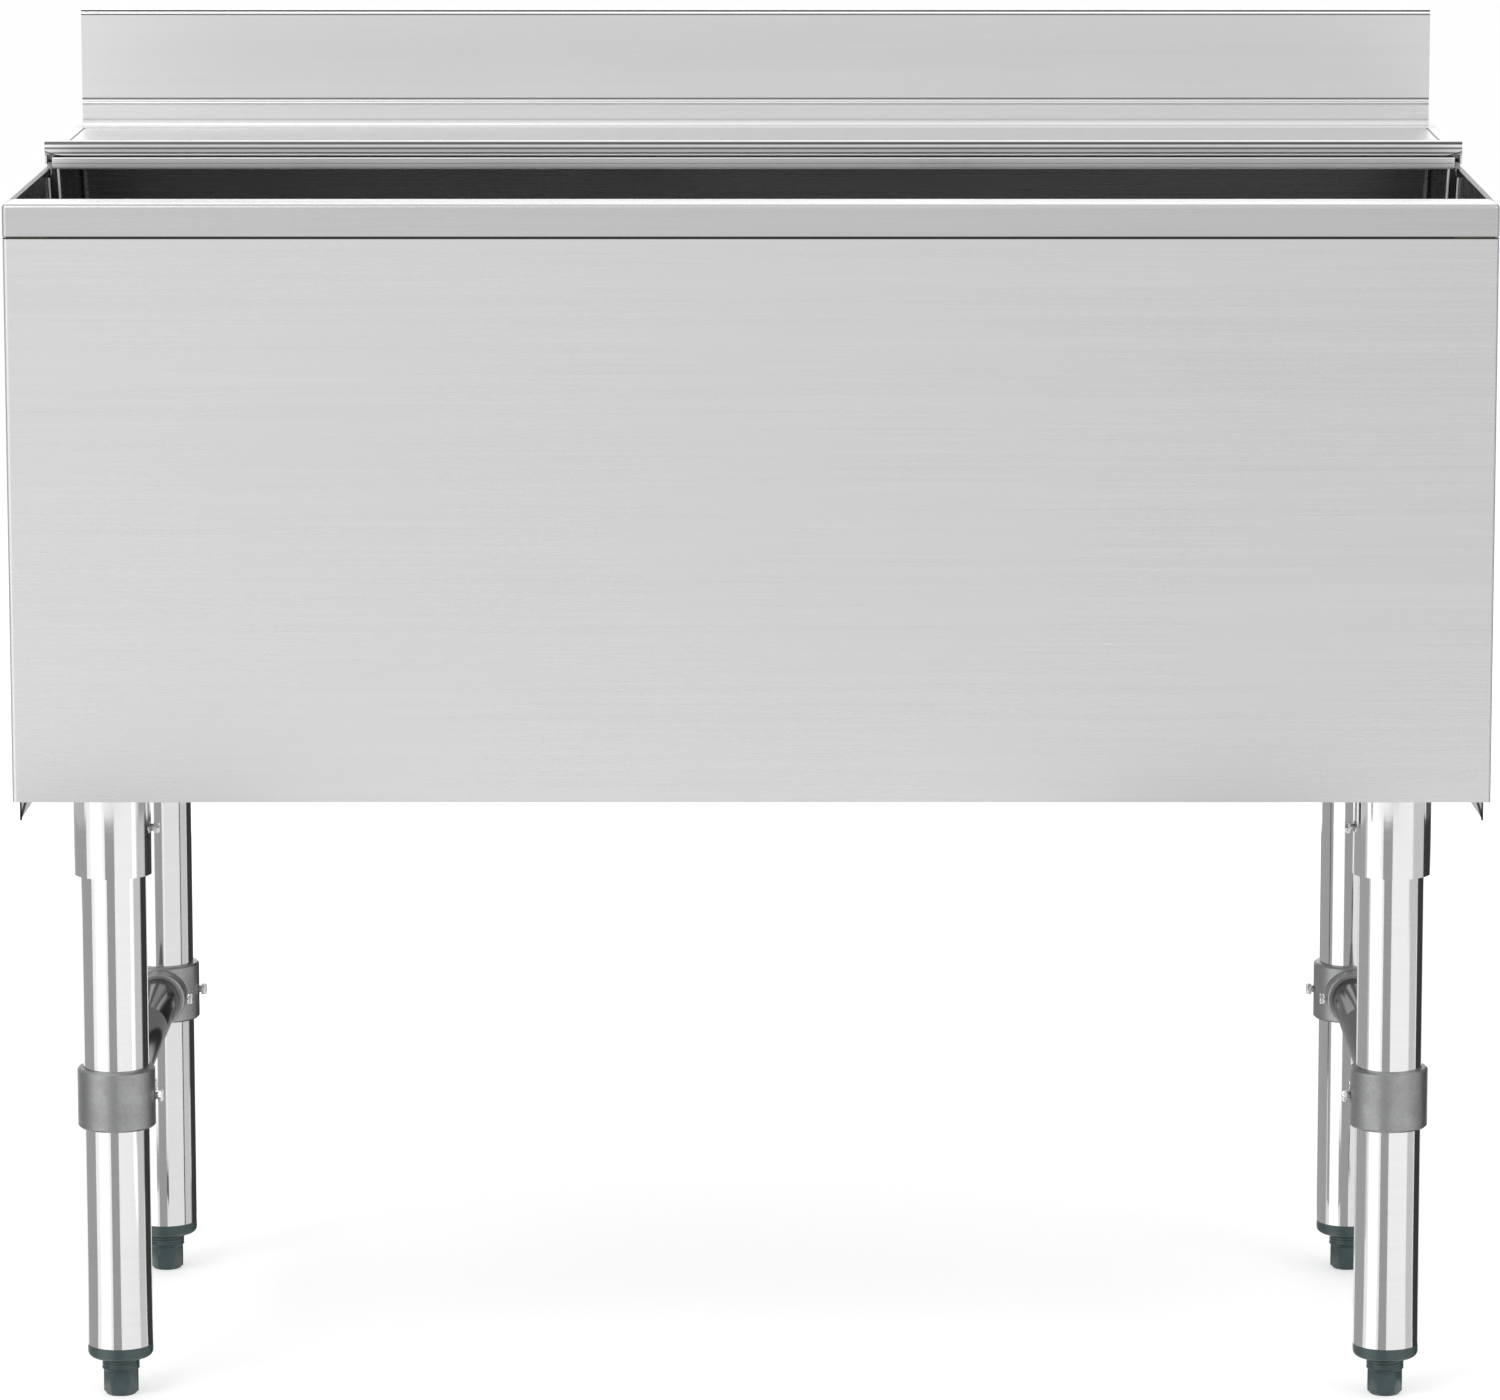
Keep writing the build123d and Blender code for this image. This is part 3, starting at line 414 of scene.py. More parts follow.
@dataclass(frozen=True)
class Finish:
    """What every finish of the bin has, as the Principled shader's own values."""

    name: str
    light: Color
    dark: Color
    smooth: float
    rough: float
    relief: float
    relief_depth: float = 0.02 * MM
    metallic: float = 1.0
    edge_tint: float = 1.0
    group: str = ""
    painted_light_bands: tuple[PaintedLightBand, ...] = ()

    def values(self) -> dict[str, object]:
        """Gives the group's inputs that only this kind of finish has."""
        return {}

    def material(self, groups: dict[str, SurfaceGroup | PaintedLightTone]) -> bpy.types.Material:
        """Builds the material, with the group feeding one Principled shader.

        Args:
            groups: the node groups by name.

        Returns:
            The new material.
        """
        made, nodes = blank_material(self.name)
        tint = (self.edge_tint, self.edge_tint, self.edge_tint, 1.0)
        shader = nodes.add("ShaderNodeBsdfPrincipled", Metallic=self.metallic,
                           Specular_Tint=tint)
        skin = nodes.add("ShaderNodeGroup", {"node_tree": groups[self.group].tree})
        skin.inputs["Light"].default_value = (*self.light, 1.0)
        skin.inputs["Dark"].default_value = (*self.dark, 1.0)
        skin.inputs["Smooth"].default_value = self.smooth
        skin.inputs["Rough"].default_value = self.rough
        for name, value in self.values().items():
            skin.inputs[name].default_value = value
        bump = nodes.add("ShaderNodeBump", Strength=self.relief, Distance=self.relief_depth)
        nodes.join(skin.outputs["Height"], bump.inputs["Height"])
        color = skin.outputs["Color"]
        # Each band paints shade (factor below 1) or light (factor above 1) into the base colour.
        for light_band in self.painted_light_bands:
            toned = nodes.add("ShaderNodeGroup", {"node_tree": groups[PaintedLightTone.name].tree})
            toned.inputs["Axis"].default_value = light_band.axis
            toned.inputs["Soft"].default_value = light_band.soft
            toned.inputs["Low"].default_value = light_band.low
            toned.inputs["High"].default_value = light_band.high
            toned.inputs["Tone"].default_value = light_band.tone
            nodes.join(color, toned.inputs["Color"])
            color = toned.outputs["Color"]
        nodes.join(color, shader.inputs["Base Color"])
        nodes.join(skin.outputs["Roughness"], shader.inputs["Roughness"])
        nodes.join(bump.outputs["Normal"], shader.inputs["Normal"])
        output = nodes.add("ShaderNodeOutputMaterial")
        nodes.join(shader.outputs["BSDF"], output.inputs["Surface"])
        return made


@dataclass(frozen=True)
class LinedFinish(Finish):
    """Brushed, polished or turned metal."""

    lay: Lay = Lay.ALONG_WIDTH
    frequency: float = 6.0
    mark_frequency: float = 6.0
    marks: float = 0.15
    group: str = LinedSurface.name

    def values(self) -> dict[str, object]:
        """Gives the lines' direction and frequency, and the handling marks."""
        return {"Lines": self.lay.value, "Line Frequency": self.frequency,
                "Mark Frequency": self.mark_frequency, "Marks": self.marks}


@dataclass(frozen=True)
class PebbledFinish(Finish):
    """Cast metal, moulded plastic, rubber or foam."""

    pit_frequency: float = 900.0
    swell_frequency: float = 90.0
    pits: float = 0.5
    group: str = PebbledSurface.name

    def values(self) -> dict[str, object]:
        """Gives the size of the pits and the swells, and how deep the pits are."""
        return {"Pit Frequency": self.pit_frequency,
                "Swell Frequency": self.swell_frequency, "Pits": self.pits}


# The brushed sheets are one steel; their base tones differ by part as painted light and shade:
# the lid, deck and backsplash lighter, the rim and side rim darker than the panel.
PANEL = LinedFinish("panel_brushed", (0.635, 0.635, 0.635), (0.60, 0.60, 0.60), 0.24, 0.34, 0.2,
                    # The band paints a shadow in the gap under the front hem.
                    painted_light_bands=(PaintedLightBand(0.7404, 0.7560, 0.06),))
# Darker base tone than the panel's steel: painted shade. The bands draw dark lines along the
# tabs' edges.
SPUR_SHADED = LinedFinish("spur_brushed_shaded", (0.50, 0.50, 0.50), (0.44, 0.44, 0.44), 0.24, 0.34, 0.2,
                   painted_light_bands=(*PaintedLightBand(0.4521, 0.4534, 0.12, ACROSS).at_both_ends(),
                          *PaintedLightBand(0.5420, 0.5436, 0.12, (0.958, 0.0, 0.287)).at_both_ends()))
SIDE = LinedFinish("side_brushed", (0.63, 0.63, 0.63), (0.59, 0.59, 0.59), 0.24, 0.34, 0.2,
                   lay=Lay.ALONG_DEPTH)
RIM = LinedFinish("rim_brushed", (0.53, 0.53, 0.53), (0.50, 0.50, 0.50), 0.24, 0.34, 0.15,
                  edge_tint=0.92,
                  # The bands paint a highlight along the flange top and a shadow under the hem,
                  # and darken both ends.
                  painted_light_bands=(PaintedLightBand(0.7614, 0.7630, 1.3), PaintedLightBand(0.7420, 0.7424, 0.5),
                         *PaintedLightBand(0.41524, 0.60, 0.55, (-0.9878, 0.1559, 0.0)).at_both_ends()))
RIM_SIDE = LinedFinish("side_rim_brushed", (0.50, 0.50, 0.50), (0.45, 0.45, 0.45),
                       0.22, 0.32, 0.15, edge_tint=0.45, lay=Lay.ALONG_DEPTH)
SPLASH = LinedFinish("backsplash_brushed", (0.71, 0.71, 0.71), (0.68, 0.68, 0.68),
                     0.28, 0.38, 0.15,
                     # Painted reflection of the rounded top bend (dark, bright, dark) and a
                     # painted shadow under the bottom edge.
                     painted_light_bands=(PaintedLightBand(0.8497, 0.8508, 0.12), PaintedLightBand(0.8486, 0.8496, 1.5),
                            PaintedLightBand(0.8474, 0.8485, 0.34), PaintedLightBand(0.7912, 0.7926, 0.34)))
DECK = LinedFinish("deck_brushed", (0.76, 0.76, 0.76), (0.72, 0.72, 0.72), 0.26, 0.36, 0.15,
                   edge_tint=0.8,
                   # Painted highlights on the bead and the nose, and painted shade lines at the
                   # bead, the cove and the nose's folds.
                   painted_light_bands=(PaintedLightBand(0.7893, 0.7911, 1.3), PaintedLightBand(0.7882, 0.7891, 0.70),
                          PaintedLightBand(0.7775, 0.7785, 0.78), PaintedLightBand(0.7736, 0.7744, 0.74),
                          PaintedLightBand(0.7560, 0.7697, 1.3), PaintedLightBand(0.7667, 0.7675, 0.62),
                          PaintedLightBand(0.7641, 0.7649, 0.7)))
LID = LinedFinish("lid_brushed", (0.84, 0.84, 0.84), (0.79, 0.79, 0.79), 0.28, 0.38, 0.15,
                  edge_tint=0.9,
                  # Painted reflection lines across the front lip (dark, bright, dark, dark) and a
                  # thin dark line at each end.
                  painted_light_bands=(PaintedLightBand(0.7789, 0.7806, 0.12), PaintedLightBand(0.7773, 0.7788, 1.19),
                         PaintedLightBand(0.7760, 0.7772, 0.30), PaintedLightBand(0.7730, 0.7738, 0.62),
                         *PaintedLightBand(-0.5918, -0.5912, 0.10, (0.3162, 0.0, -0.9487),
                               0.1 * MM).at_both_ends()))
# Near-white, almost non-metallic base: painted highlights on the steel bracket's lips; the band
# darkens its inside as painted shade.
BRACKET_PAINTED_LIGHT = LinedFinish("bracket_painted_highlight", (0.95, 0.95, 0.95), (0.90, 0.90, 0.90), 0.16, 0.26, 0.1,
                      metallic=0.1, lay=Lay.ALONG_HEIGHT,
                      painted_light_bands=(PaintedLightBand(-0.0128, 0.0, 0.10, (0.0, 1.0, 0.0)),))
# Dark base tone as painted shade inside the tub; the bands paint it lighter towards the top and
# towards the right.
LINER_SHADED = LinedFinish("liner_satin_shaded", (0.19, 0.19, 0.19), (0.15, 0.15, 0.15), 0.22, 0.34, 0.2,
                    painted_light_bands=(PaintedLightBand(0.40, 0.62, 4.2, soft=160.0 * MM),
                           PaintedLightBand(0.05, 0.50, 1.35, ACROSS, 700.0 * MM)))
CASING = LinedFinish("casing_satin", (0.50, 0.505, 0.51), (0.42, 0.425, 0.43), 0.34, 0.48, 0.2)
CASING_DEPTH = LinedFinish("channel_satin", (0.50, 0.505, 0.51), (0.42, 0.425, 0.43),
                           0.34, 0.48, 0.2, lay=Lay.ALONG_DEPTH)
TUBE = LinedFinish("tube_polished", (0.74, 0.74, 0.74), (0.70, 0.70, 0.70), 0.06, 0.12, 0.04,
                   lay=Lay.ROUND_UPRIGHT, frequency=8.0, marks=0.1)
# Darker base tone than the legs' polished steel: painted shade.
RAIL = LinedFinish("rail_polished", (0.30, 0.30, 0.30), (0.25, 0.25, 0.25), 0.08, 0.16, 0.05,
                   edge_tint=0.6, lay=Lay.ROUND_RAIL, frequency=8.0, marks=0.15)
CLAMP = PebbledFinish("clamp_cast", (0.36, 0.362, 0.365), (0.27, 0.272, 0.275), 0.34, 0.52, 0.35,
                      relief_depth=0.12 * MM)
SCREW = LinedFinish("screw_turned", (0.72, 0.72, 0.715), (0.60, 0.60, 0.595), 0.12, 0.24, 0.15,
                    lay=Lay.ROUND_UPRIGHT, frequency=10.0, marks=0.1)
FOOT = PebbledFinish("foot_moulded", (0.062, 0.098, 0.098), (0.043, 0.072, 0.072), 0.26, 0.42,
                     0.25, metallic=0.0, relief_depth=0.05 * MM)
WELD = PebbledFinish("weld_bead", (0.62, 0.60, 0.57), (0.44, 0.41, 0.38), 0.26, 0.42, 0.3,
                     relief_depth=0.05 * MM, pit_frequency=700.0)
GLIDE = PebbledFinish("glide_moulded", (0.80, 0.80, 0.78), (0.70, 0.70, 0.68), 0.35, 0.5, 0.2,
                      metallic=0.0, relief_depth=0.04 * MM)
GASKET = PebbledFinish("gasket_rubber", (0.022, 0.022, 0.023), (0.012, 0.012, 0.013), 0.55, 0.75,
                       0.3, metallic=0.0, relief_depth=0.06 * MM)
DRAIN = LinedFinish("drain_turned", (0.62, 0.61, 0.59), (0.50, 0.49, 0.47), 0.16, 0.3, 0.15,
                    lay=Lay.ROUND_UPRIGHT)
FOAM = PebbledFinish("foam_blown", (0.74, 0.68, 0.50), (0.60, 0.54, 0.36), 0.75, 0.95, 0.8,
                     metallic=0.0, relief_depth=0.8 * MM, pit_frequency=260.0,
                     swell_frequency=30.0, pits=0.9)


def placed(stem: str) -> tuple[str, ...]:
    """Names the four nodes of a piece that each corner of the bin has."""
    return tuple(f"{stem}_{place}" for place in PLACES)


def paired(stem: str) -> tuple[str, ...]:
    """Names the two nodes of a piece that each side of the bin has."""
    return tuple(f"{stem}_{side}" for side in SIDES)


NODE_FINISHES: tuple[tuple[Finish, tuple[str, ...]], ...] = (
    (PANEL, ("front_apron",)),
    (SIDE, paired("side_panel")),
    (RIM, ("front_rim",)),
    (SPUR_SHADED, ("corner_tabs",)),
    (RIM_SIDE, paired("side_rim")),
    (SPLASH, ("backsplash", "backsplash_end_left", "backsplash_end_right")),
    (DECK, ("rear_deck",)),
    (LID, ("lid_panel",)),
    (BRACKET_PAINTED_LIGHT, paired("deck_bracket")),
    (LINER_SHADED, ("ice_liner",)),
    (CASING, ("rear_panel", "bottom_pan")),
    (CASING_DEPTH, paired("leg_channel")),
    (TUBE, (*placed("leg_tube"), *placed("leg_socket"))),
    (RAIL, paired("cross_rail")),
    (CLAMP, placed("rail_clamp")),
    (SCREW, ("socket_bolts", "socket_set_screws", "clamp_set_screws")),
    (FOOT, (*placed("foot_insert"), *placed("bullet_foot"))),
    (GLIDE, ("lid_glides",)),
    (GASKET, ("drain_gasket",)),
    (DRAIN, ("drain_body", "drain_locknut", "drain_tailpiece", "drain_strainer")),
    (FOAM, ("insulation_walls", "insulation_base")),
)


class Wardrobe:
    """Builds each finish once and dresses nodes and pieces with it."""

    def __init__(self) -> None:
        """Makes the node groups."""
        self.groups = {kind.name: kind() for kind in (LinedSurface, PebbledSurface, PaintedLightTone)}
        self.made: dict[str, bpy.types.Material] = {}

    def of(self, finish: Finish) -> bpy.types.Material:
        """Gives the finish's material, built the first time it is asked for."""
        if finish.name not in self.made:
            self.made[finish.name] = finish.material(self.groups)
        return self.made[finish.name]

    def dress(self, piece: bpy.types.Object, finish: Finish) -> None:
        """Puts one finish on every slot of a piece.

        Args:
            piece: the mesh object.
            finish: its finish.
        """
        material = self.of(finish)
        if not piece.material_slots:
            piece.data.materials.append(material)
        for slot in piece.material_slots:
            slot.material = material

    def dress_nodes(self, nodes: dict[str, bpy.types.Object]) -> None:
        """Dresses the CAD nodes.

        Args:
            nodes: the CAD nodes by name.
        """
        for finish, names in NODE_FINISHES:
            for name in names:
                self.dress(nodes[name], finish)
            LOG.info("%s on %d nodes", finish.name, len(names))


# Turned and welded pieces


@dataclass(frozen=True)
class Surface:
    """A closed surface as its vertices, its four-sided faces and its end caps."""

    vertices: np.ndarray
    quads: np.ndarray
    caps: tuple[np.ndarray, ...] = ()


def lattice(rows: int, columns: int, looped: bool) -> np.ndarray:
    """Joins rows of vertices, each closed on itself, with four-sided faces.

    Args:
        rows: how many rows there are.
        columns: how many vertices each row has.
        looped: whether the last row also joins the first.

    Returns:
        Each face's four vertices, turned outwards.
    """
    row = np.arange(rows if looped else rows - 1)[:, None]
    column = np.arange(columns)[None, :]
    after = (column + 1) % columns
    above = (row + 1) % rows
    corners = (row * columns + column, row * columns + after,
               above * columns + after, above * columns + column)
    return np.stack(corners, axis=-1).reshape(-1, 4)


@dataclass(frozen=True)
class Station:
    """One ring of a turned part: a circle, or a hexagon whose corners a cap cuts off.

    All four are in metres. Radius is the circle's, or the hexagon's to its flats. A cap of zero
    means a circle. Thread is how deep the thread is cut at this ring.
    """

    along: float
    radius: float
    cap: float = 0.0
    thread: float = 0.0


@dataclass(frozen=True)
class TurnedPart:
    """A part made of rings round an axis, threaded where its stations say so."""

    stations: tuple[Station, ...]
    pitch: float = 1.0 * MM
    segments: int = 72
    rows_per_turn: int = 8
    looped: bool = False

    def rings(self) -> np.ndarray:
        """Gives one row per ring: along, radius, cap and thread, filled in between stations."""
        table = np.array([(each.along, each.radius, each.cap, each.thread)
                          for each in self.stations])
        spans = []
        for start, end in zip(table[:-1], table[1:]):
            threaded = max(start[3], end[3]) > 0.0
            turns = abs(end[0] - start[0]) / self.pitch if threaded else 0.0
            count = max(1, math.ceil(turns * self.rows_per_turn))
            share = np.linspace(0.0, 1.0, count, endpoint=False)[:, None]
            spans.append(start + (end - start) * share)
        return np.concatenate((*spans, table[-1:]))

    def surface(self, start: Triple, axis: Triple) -> Surface:
        """Builds the part's surface.

        A point at an angle a and a height t along the axis lies at a distance from the axis of r
        for a circle, and of the smaller of r / cos(a mod 60 - 30 degrees) and the cap for a
        hexagon. The thread takes away its depth times |2 frac(t / pitch - a / 360 degrees) - 1|.

        Args:
            start: the point on the axis where the heights begin.
            axis: the axis's direction, a unit vector along X or Z.

        Returns:
            The closed surface.
        """
        along, radius, cap, thread = (part[:, None] for part in self.rings().T)
        angle = np.linspace(0.0, 2.0 * np.pi, self.segments, endpoint=False)[None, :]
        sixth = np.pi / 3.0
        corner = radius / np.cos(np.mod(angle, sixth) - sixth / 2.0)
        across = np.where(cap > 0.0, np.minimum(corner, cap), radius)
        across = across - thread * np.abs(
            2.0 * np.mod(along / self.pitch - angle / (2.0 * np.pi), 1.0) - 1.0)
        ahead = np.array(axis)
        first = np.array((0.0, 1.0, 0.0) if abs(axis[0]) > abs(axis[2]) else ACROSS)
        second = np.cross(ahead, first)
        points = (np.array(start) + along[..., None] * ahead
                  + (across * np.cos(angle))[..., None] * first
                  + (across * np.sin(angle))[..., None] * second)
        rows = points.shape[0]
        ring = np.arange(self.segments)
        caps = () if self.looped else (ring[::-1], ring + (rows - 1) * self.segments)
        return Surface(points.reshape(-1, 3), lattice(rows, self.segments, self.looped), caps)


@dataclass(frozen=True)
class WeldBead:
    """A weld bead that runs round a tube in a row of overlapping puddles."""

    ring_radius: float
    bead_radius: float = 2.0 * MM
    puddles: int = 46
    ripple: float = 0.22
    around: int = 552
    across: int = 14

    def surface(self, middle: Triple) -> Surface:
        """Builds the bead, a ring whose own radius swells with each puddle.

        At an angle a the bead's radius is r (1 - ripple (1 - s) ^ 2), where s is
        |sin(puddles a / 2)|, so that it pinches in between the puddles.

        Args:
            middle: the ring's centre.

        Returns:
            The closed surface.
        """
        turn = np.linspace(0.0, 2.0 * np.pi, self.around, endpoint=False)[:, None]
        over = np.linspace(0.0, -2.0 * np.pi, self.across, endpoint=False)[None, :]
        swell = np.abs(np.sin(turn * self.puddles / 2.0))
        radius = self.bead_radius * (1.0 - self.ripple * (1.0 - swell) ** 2)
        reach = self.ring_radius + radius * np.cos(over)
        points = np.stack((middle[0] + reach * np.cos(turn), middle[1] + reach * np.sin(turn),
                           middle[2] + radius * np.sin(over)), axis=-1)
        return Surface(points.reshape(-1, 3), lattice(self.around, self.across, True))


def leg_axis(place: str) -> tuple[float, float]:
    """Gives the X and Y of one leg's axis."""
    low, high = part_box(f"leg_tube_{place}")
    return (low[0] + high[0]) / 2.0, (low[1] + high[1]) / 2.0


@dataclass(frozen=True)
class Piece:
    """A close-up piece of the visual model, with its name, finish, body and slot."""

    name: str
    finish: Finish
    slot: str
    body: str = "bin"
    instead_of: tuple[str, ...] = ()
    crease: float = 32.0

    def surfaces(self) -> list[Surface]:
        """Gives the piece's closed surfaces."""
        raise NotImplementedError

    def build(self, wardrobe: Wardrobe) -> bpy.types.Object:
        """Makes the mesh from the surfaces, dresses it and puts it on its body.

        Args:
            wardrobe: gives the finish's material.

        Returns:
            The new object.
        """
        parts = self.surfaces()
        starts = np.cumsum([0] + [len(part.vertices) for part in parts])
        faces = []
        for part, start in zip(parts, starts):
            faces += (part.quads + start).tolist()
            faces += [(cap + start).tolist() for cap in part.caps]
        mesh = bpy.data.meshes.new(self.name)
        mesh.from_pydata(np.concatenate([part.vertices for part in parts]), [], faces)
        mesh.shade_smooth()
        mesh.set_sharp_from_angle(angle=math.radians(self.crease))
        made = bpy.data.objects.new(self.name, mesh)
        bpy.context.scene.collection.objects.link(made)
        wardrobe.dress(made, self.finish)
        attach(made, self.body)
        if self.instead_of:
            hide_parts(*self.instead_of)
        LOG.info("%s: %d surfaces, %d faces", self.name, len(parts), len(faces))
        return made


@dataclass(frozen=True)
class LevellingFoot(Piece):
    """A screwed foot: a chamfered hexagon, a ribbed neck and a threaded stem."""

    place: str = PLACES[0]
    flats: float = 9.6 * MM
    corner: float = 11.0 * MM
    end_cap: float = 9.0 * MM
    chamfer: float = 1.6 * MM
    hexagon_height: float = 16.3 * MM
    neck_radius: float = 11.95 * MM
    neck_top: float = 24.3 * MM
    neck_round: float = 0.7 * MM
    neck_rib: float = 0.45 * MM
    stem_radius: float = 7.85 * MM
    stem_thread: float = 0.9 * MM
    stem_top: float = 64.2 * MM
    stem_taper: float = 1.4 * MM
    pitch: float = 2.0 * MM

    @classmethod
    def at(cls, place: str) -> LevellingFoot:
        """Names the foot of one leg and ties it to its CAD node and body."""
        return cls(f"levelling_foot_{place}", FOOT, "foot_plastic", f"foot_{place}",
                   (f"bullet_foot_{place}",), place=place)

    def surfaces(self) -> list[Surface]:
        """Stacks the hexagon, the neck and the stem from the floor up."""
        shoulder = self.hexagon_height
        bevel = shoulder - self.chamfer / 2.0
        rib_low = shoulder + self.neck_round
        rib_high = self.neck_top - self.neck_round
        slim = self.neck_radius - self.neck_round
        root = self.stem_radius - self.stem_thread
        thread_low = self.neck_top + self.pitch
        thread_high = self.stem_top - self.stem_taper
        stations = (
            Station(0.0, self.flats, self.end_cap),
            Station(self.chamfer, self.flats, self.corner),
            Station(bevel, self.flats, self.corner),
            Station(shoulder, self.flats, self.corner - self.chamfer / 2.0),
            Station(shoulder, slim),
            Station(rib_low, self.neck_radius),
            Station(rib_low + self.neck_rib, self.neck_radius, thread=self.neck_rib),
            Station(rib_high - self.neck_rib, self.neck_radius, thread=self.neck_rib),
            Station(rib_high, self.neck_radius),
            Station(self.neck_top, slim),
            Station(self.neck_top, root),
            Station(thread_low - self.pitch / 2.0, root),
            Station(thread_low, self.stem_radius, thread=self.stem_thread),
            Station(thread_high, self.stem_radius, thread=self.stem_thread),
            Station(self.stem_top, root),
        )
        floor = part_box(f"bullet_foot_{self.place}")[0][2]
        x, y = leg_axis(self.place)
        return [TurnedPart(stations, self.pitch).surface((x, y, max(floor, 0.0)), UPWARD)]


@dataclass(frozen=True)
class SetScrews(Piece):
    """Threaded set screws, with hexagonal heads and a socket for a key, that point along X."""

    shank: float = 2.45 * MM
    thread: float = 0.35 * MM
    pitch: float = 0.8 * MM
    flats: float = 3.5 * MM
    corner: float = 4.0 * MM
    end_cap: float = 3.45 * MM
    head: float = 3.2 * MM
    bevel: float = 0.4 * MM
    key_flats: float = 1.6 * MM
    key_cap: float = 1.84 * MM
    key_depth: float = 2.0 * MM

    def screw(self, length: float) -> TurnedPart:
        """Makes one screw from its tip to the bottom of its key socket.

        Args:
            length: how long the shank is under the head.

        Returns:
            The turned part.
        """
        top = length + self.head
        return TurnedPart((
            Station(0.0, self.shank - self.thread),
            Station(self.pitch, self.shank, thread=self.thread),
            Station(length - self.pitch, self.shank, thread=self.thread),
            Station(length, self.shank - self.thread),
            Station(length, self.flats, self.end_cap),
            Station(length + self.bevel, self.flats, self.corner),
            Station(top - self.bevel, self.flats, self.corner),
            Station(top, self.flats, self.end_cap),
            Station(top, self.key_flats, self.key_cap),
            Station(top - self.key_depth, self.key_flats, self.key_cap),
        ), self.pitch, segments=36)

    def set_in(self, x: float, y: float, z: float, near: float, far: float) -> Surface:
        """Sets a screw from near to far of an axis, its head towards the bin's middle."""
        inward = -1.0 if x > 0.0 else 1.0
        return self.screw(far - near).surface((x + inward * near, y, z), (inward, 0.0, 0.0))


@dataclass(frozen=True)
class ClampScrews(SetScrews):
    """Two set screws in each rail clamp, one on the leg and one on the rail."""

    name: str = "clamp_screws_threaded"
    finish: Finish = SCREW
    slot: str = "screw_steel"
    instead_of: tuple[str, ...] = ("clamp_set_screws",)
    leg_near: float = 20.65 * MM
    leg_far: float = 26.1 * MM
    rail_near: float = 14.3 * MM
    rail_far: float = 19.4 * MM
    boss_reach: float = 31.65 * MM

    def surfaces(self) -> list[Surface]:
        """Sets both screws of every clamp at the clamp's middle height."""
        made = []
        for place in PLACES:
            x, y = leg_axis(place)
            low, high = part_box(f"rail_clamp_{place}")
            z = (low[2] + high[2]) / 2.0
            boss_y = y + (self.boss_reach if place.startswith("front") else -self.boss_reach)
            made.append(self.set_in(x, y, z, self.leg_near, self.leg_far))
            made.append(self.set_in(x, boss_y, z, self.rail_near, self.rail_far))
        return made


@dataclass(frozen=True)
class SocketScrews(SetScrews):
    """One set screw in each leg socket."""

    name: str = "socket_screws_threaded"
    finish: Finish = SCREW
    slot: str = "screw_steel"
    instead_of: tuple[str, ...] = ("socket_set_screws",)
    near: float = 20.65 * MM
    far: float = 26.1 * MM

    def surfaces(self) -> list[Surface]:
        """Sets a screw at the middle height of every socket."""
        made = []
        for place in PLACES:
            x, y = leg_axis(place)
            low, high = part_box(f"leg_socket_{place}")
            made.append(self.set_in(x, y, (low[2] + high[2]) / 2.0, self.near, self.far))
        return made


@dataclass(frozen=True)
class SocketWelds(Piece):
    """The weld beads that join each leg socket to its plate."""

    name: str = "socket_welds"
    finish: Finish = WELD
    slot: str = "polished_tube"
    crease: float = 80.0
    plate: float = 3.0 * MM
    bead: WeldBead = WeldBead(25.1 * MM)

    def surfaces(self) -> list[Surface]:
        """Lays a bead in the corner under every plate."""
        made = []
        for place in PLACES:
            x, y = leg_axis(place)
            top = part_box(f"leg_socket_{place}")[1][2]
            made.append(self.bead.surface((x, y, top - self.plate - self.bead.bead_radius / 4.0)))
        return made


@dataclass(frozen=True)
class OutletThread(Piece):
    """The pipe thread on the drain's outlet."""

    name: str = "outlet_thread"
    finish: Finish = DRAIN
    slot: str = "drain_fitting"
    crest: float = 17.4 * MM
    depth: float = 0.6 * MM
    bore: float = 15.0 * MM
    pitch: float = 1.8 * MM
    low: float = 0.4 * MM
    length: float = 12.6 * MM

    def surfaces(self) -> list[Surface]:
        """Winds the thread round the outlet's lower end and closes it inside the pipe's wall."""
        lowest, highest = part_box("drain_tailpiece")
        x = (lowest[0] + highest[0]) / 2.0
        y = (lowest[1] + highest[1]) / 2.0
        root = self.crest - self.depth
        sleeve = TurnedPart((
            Station(self.low, self.bore),
            Station(self.low, root),
            Station(self.low + self.pitch, self.crest, thread=self.depth),
            Station(self.length - self.pitch, self.crest, thread=self.depth),
            Station(self.length, root),
            Station(self.length, self.bore),
        ), self.pitch, looped=True)
        return [sleeve.surface((x, y, lowest[2]), UPWARD)]


def close_up_pieces() -> tuple[Piece, ...]:
    """Lists the pieces that are finer here than in the CAD model."""
    return (*(LevellingFoot.at(place) for place in PLACES), ClampScrews(), SocketScrews(),
            SocketWelds(), OutletThread())


# Studio


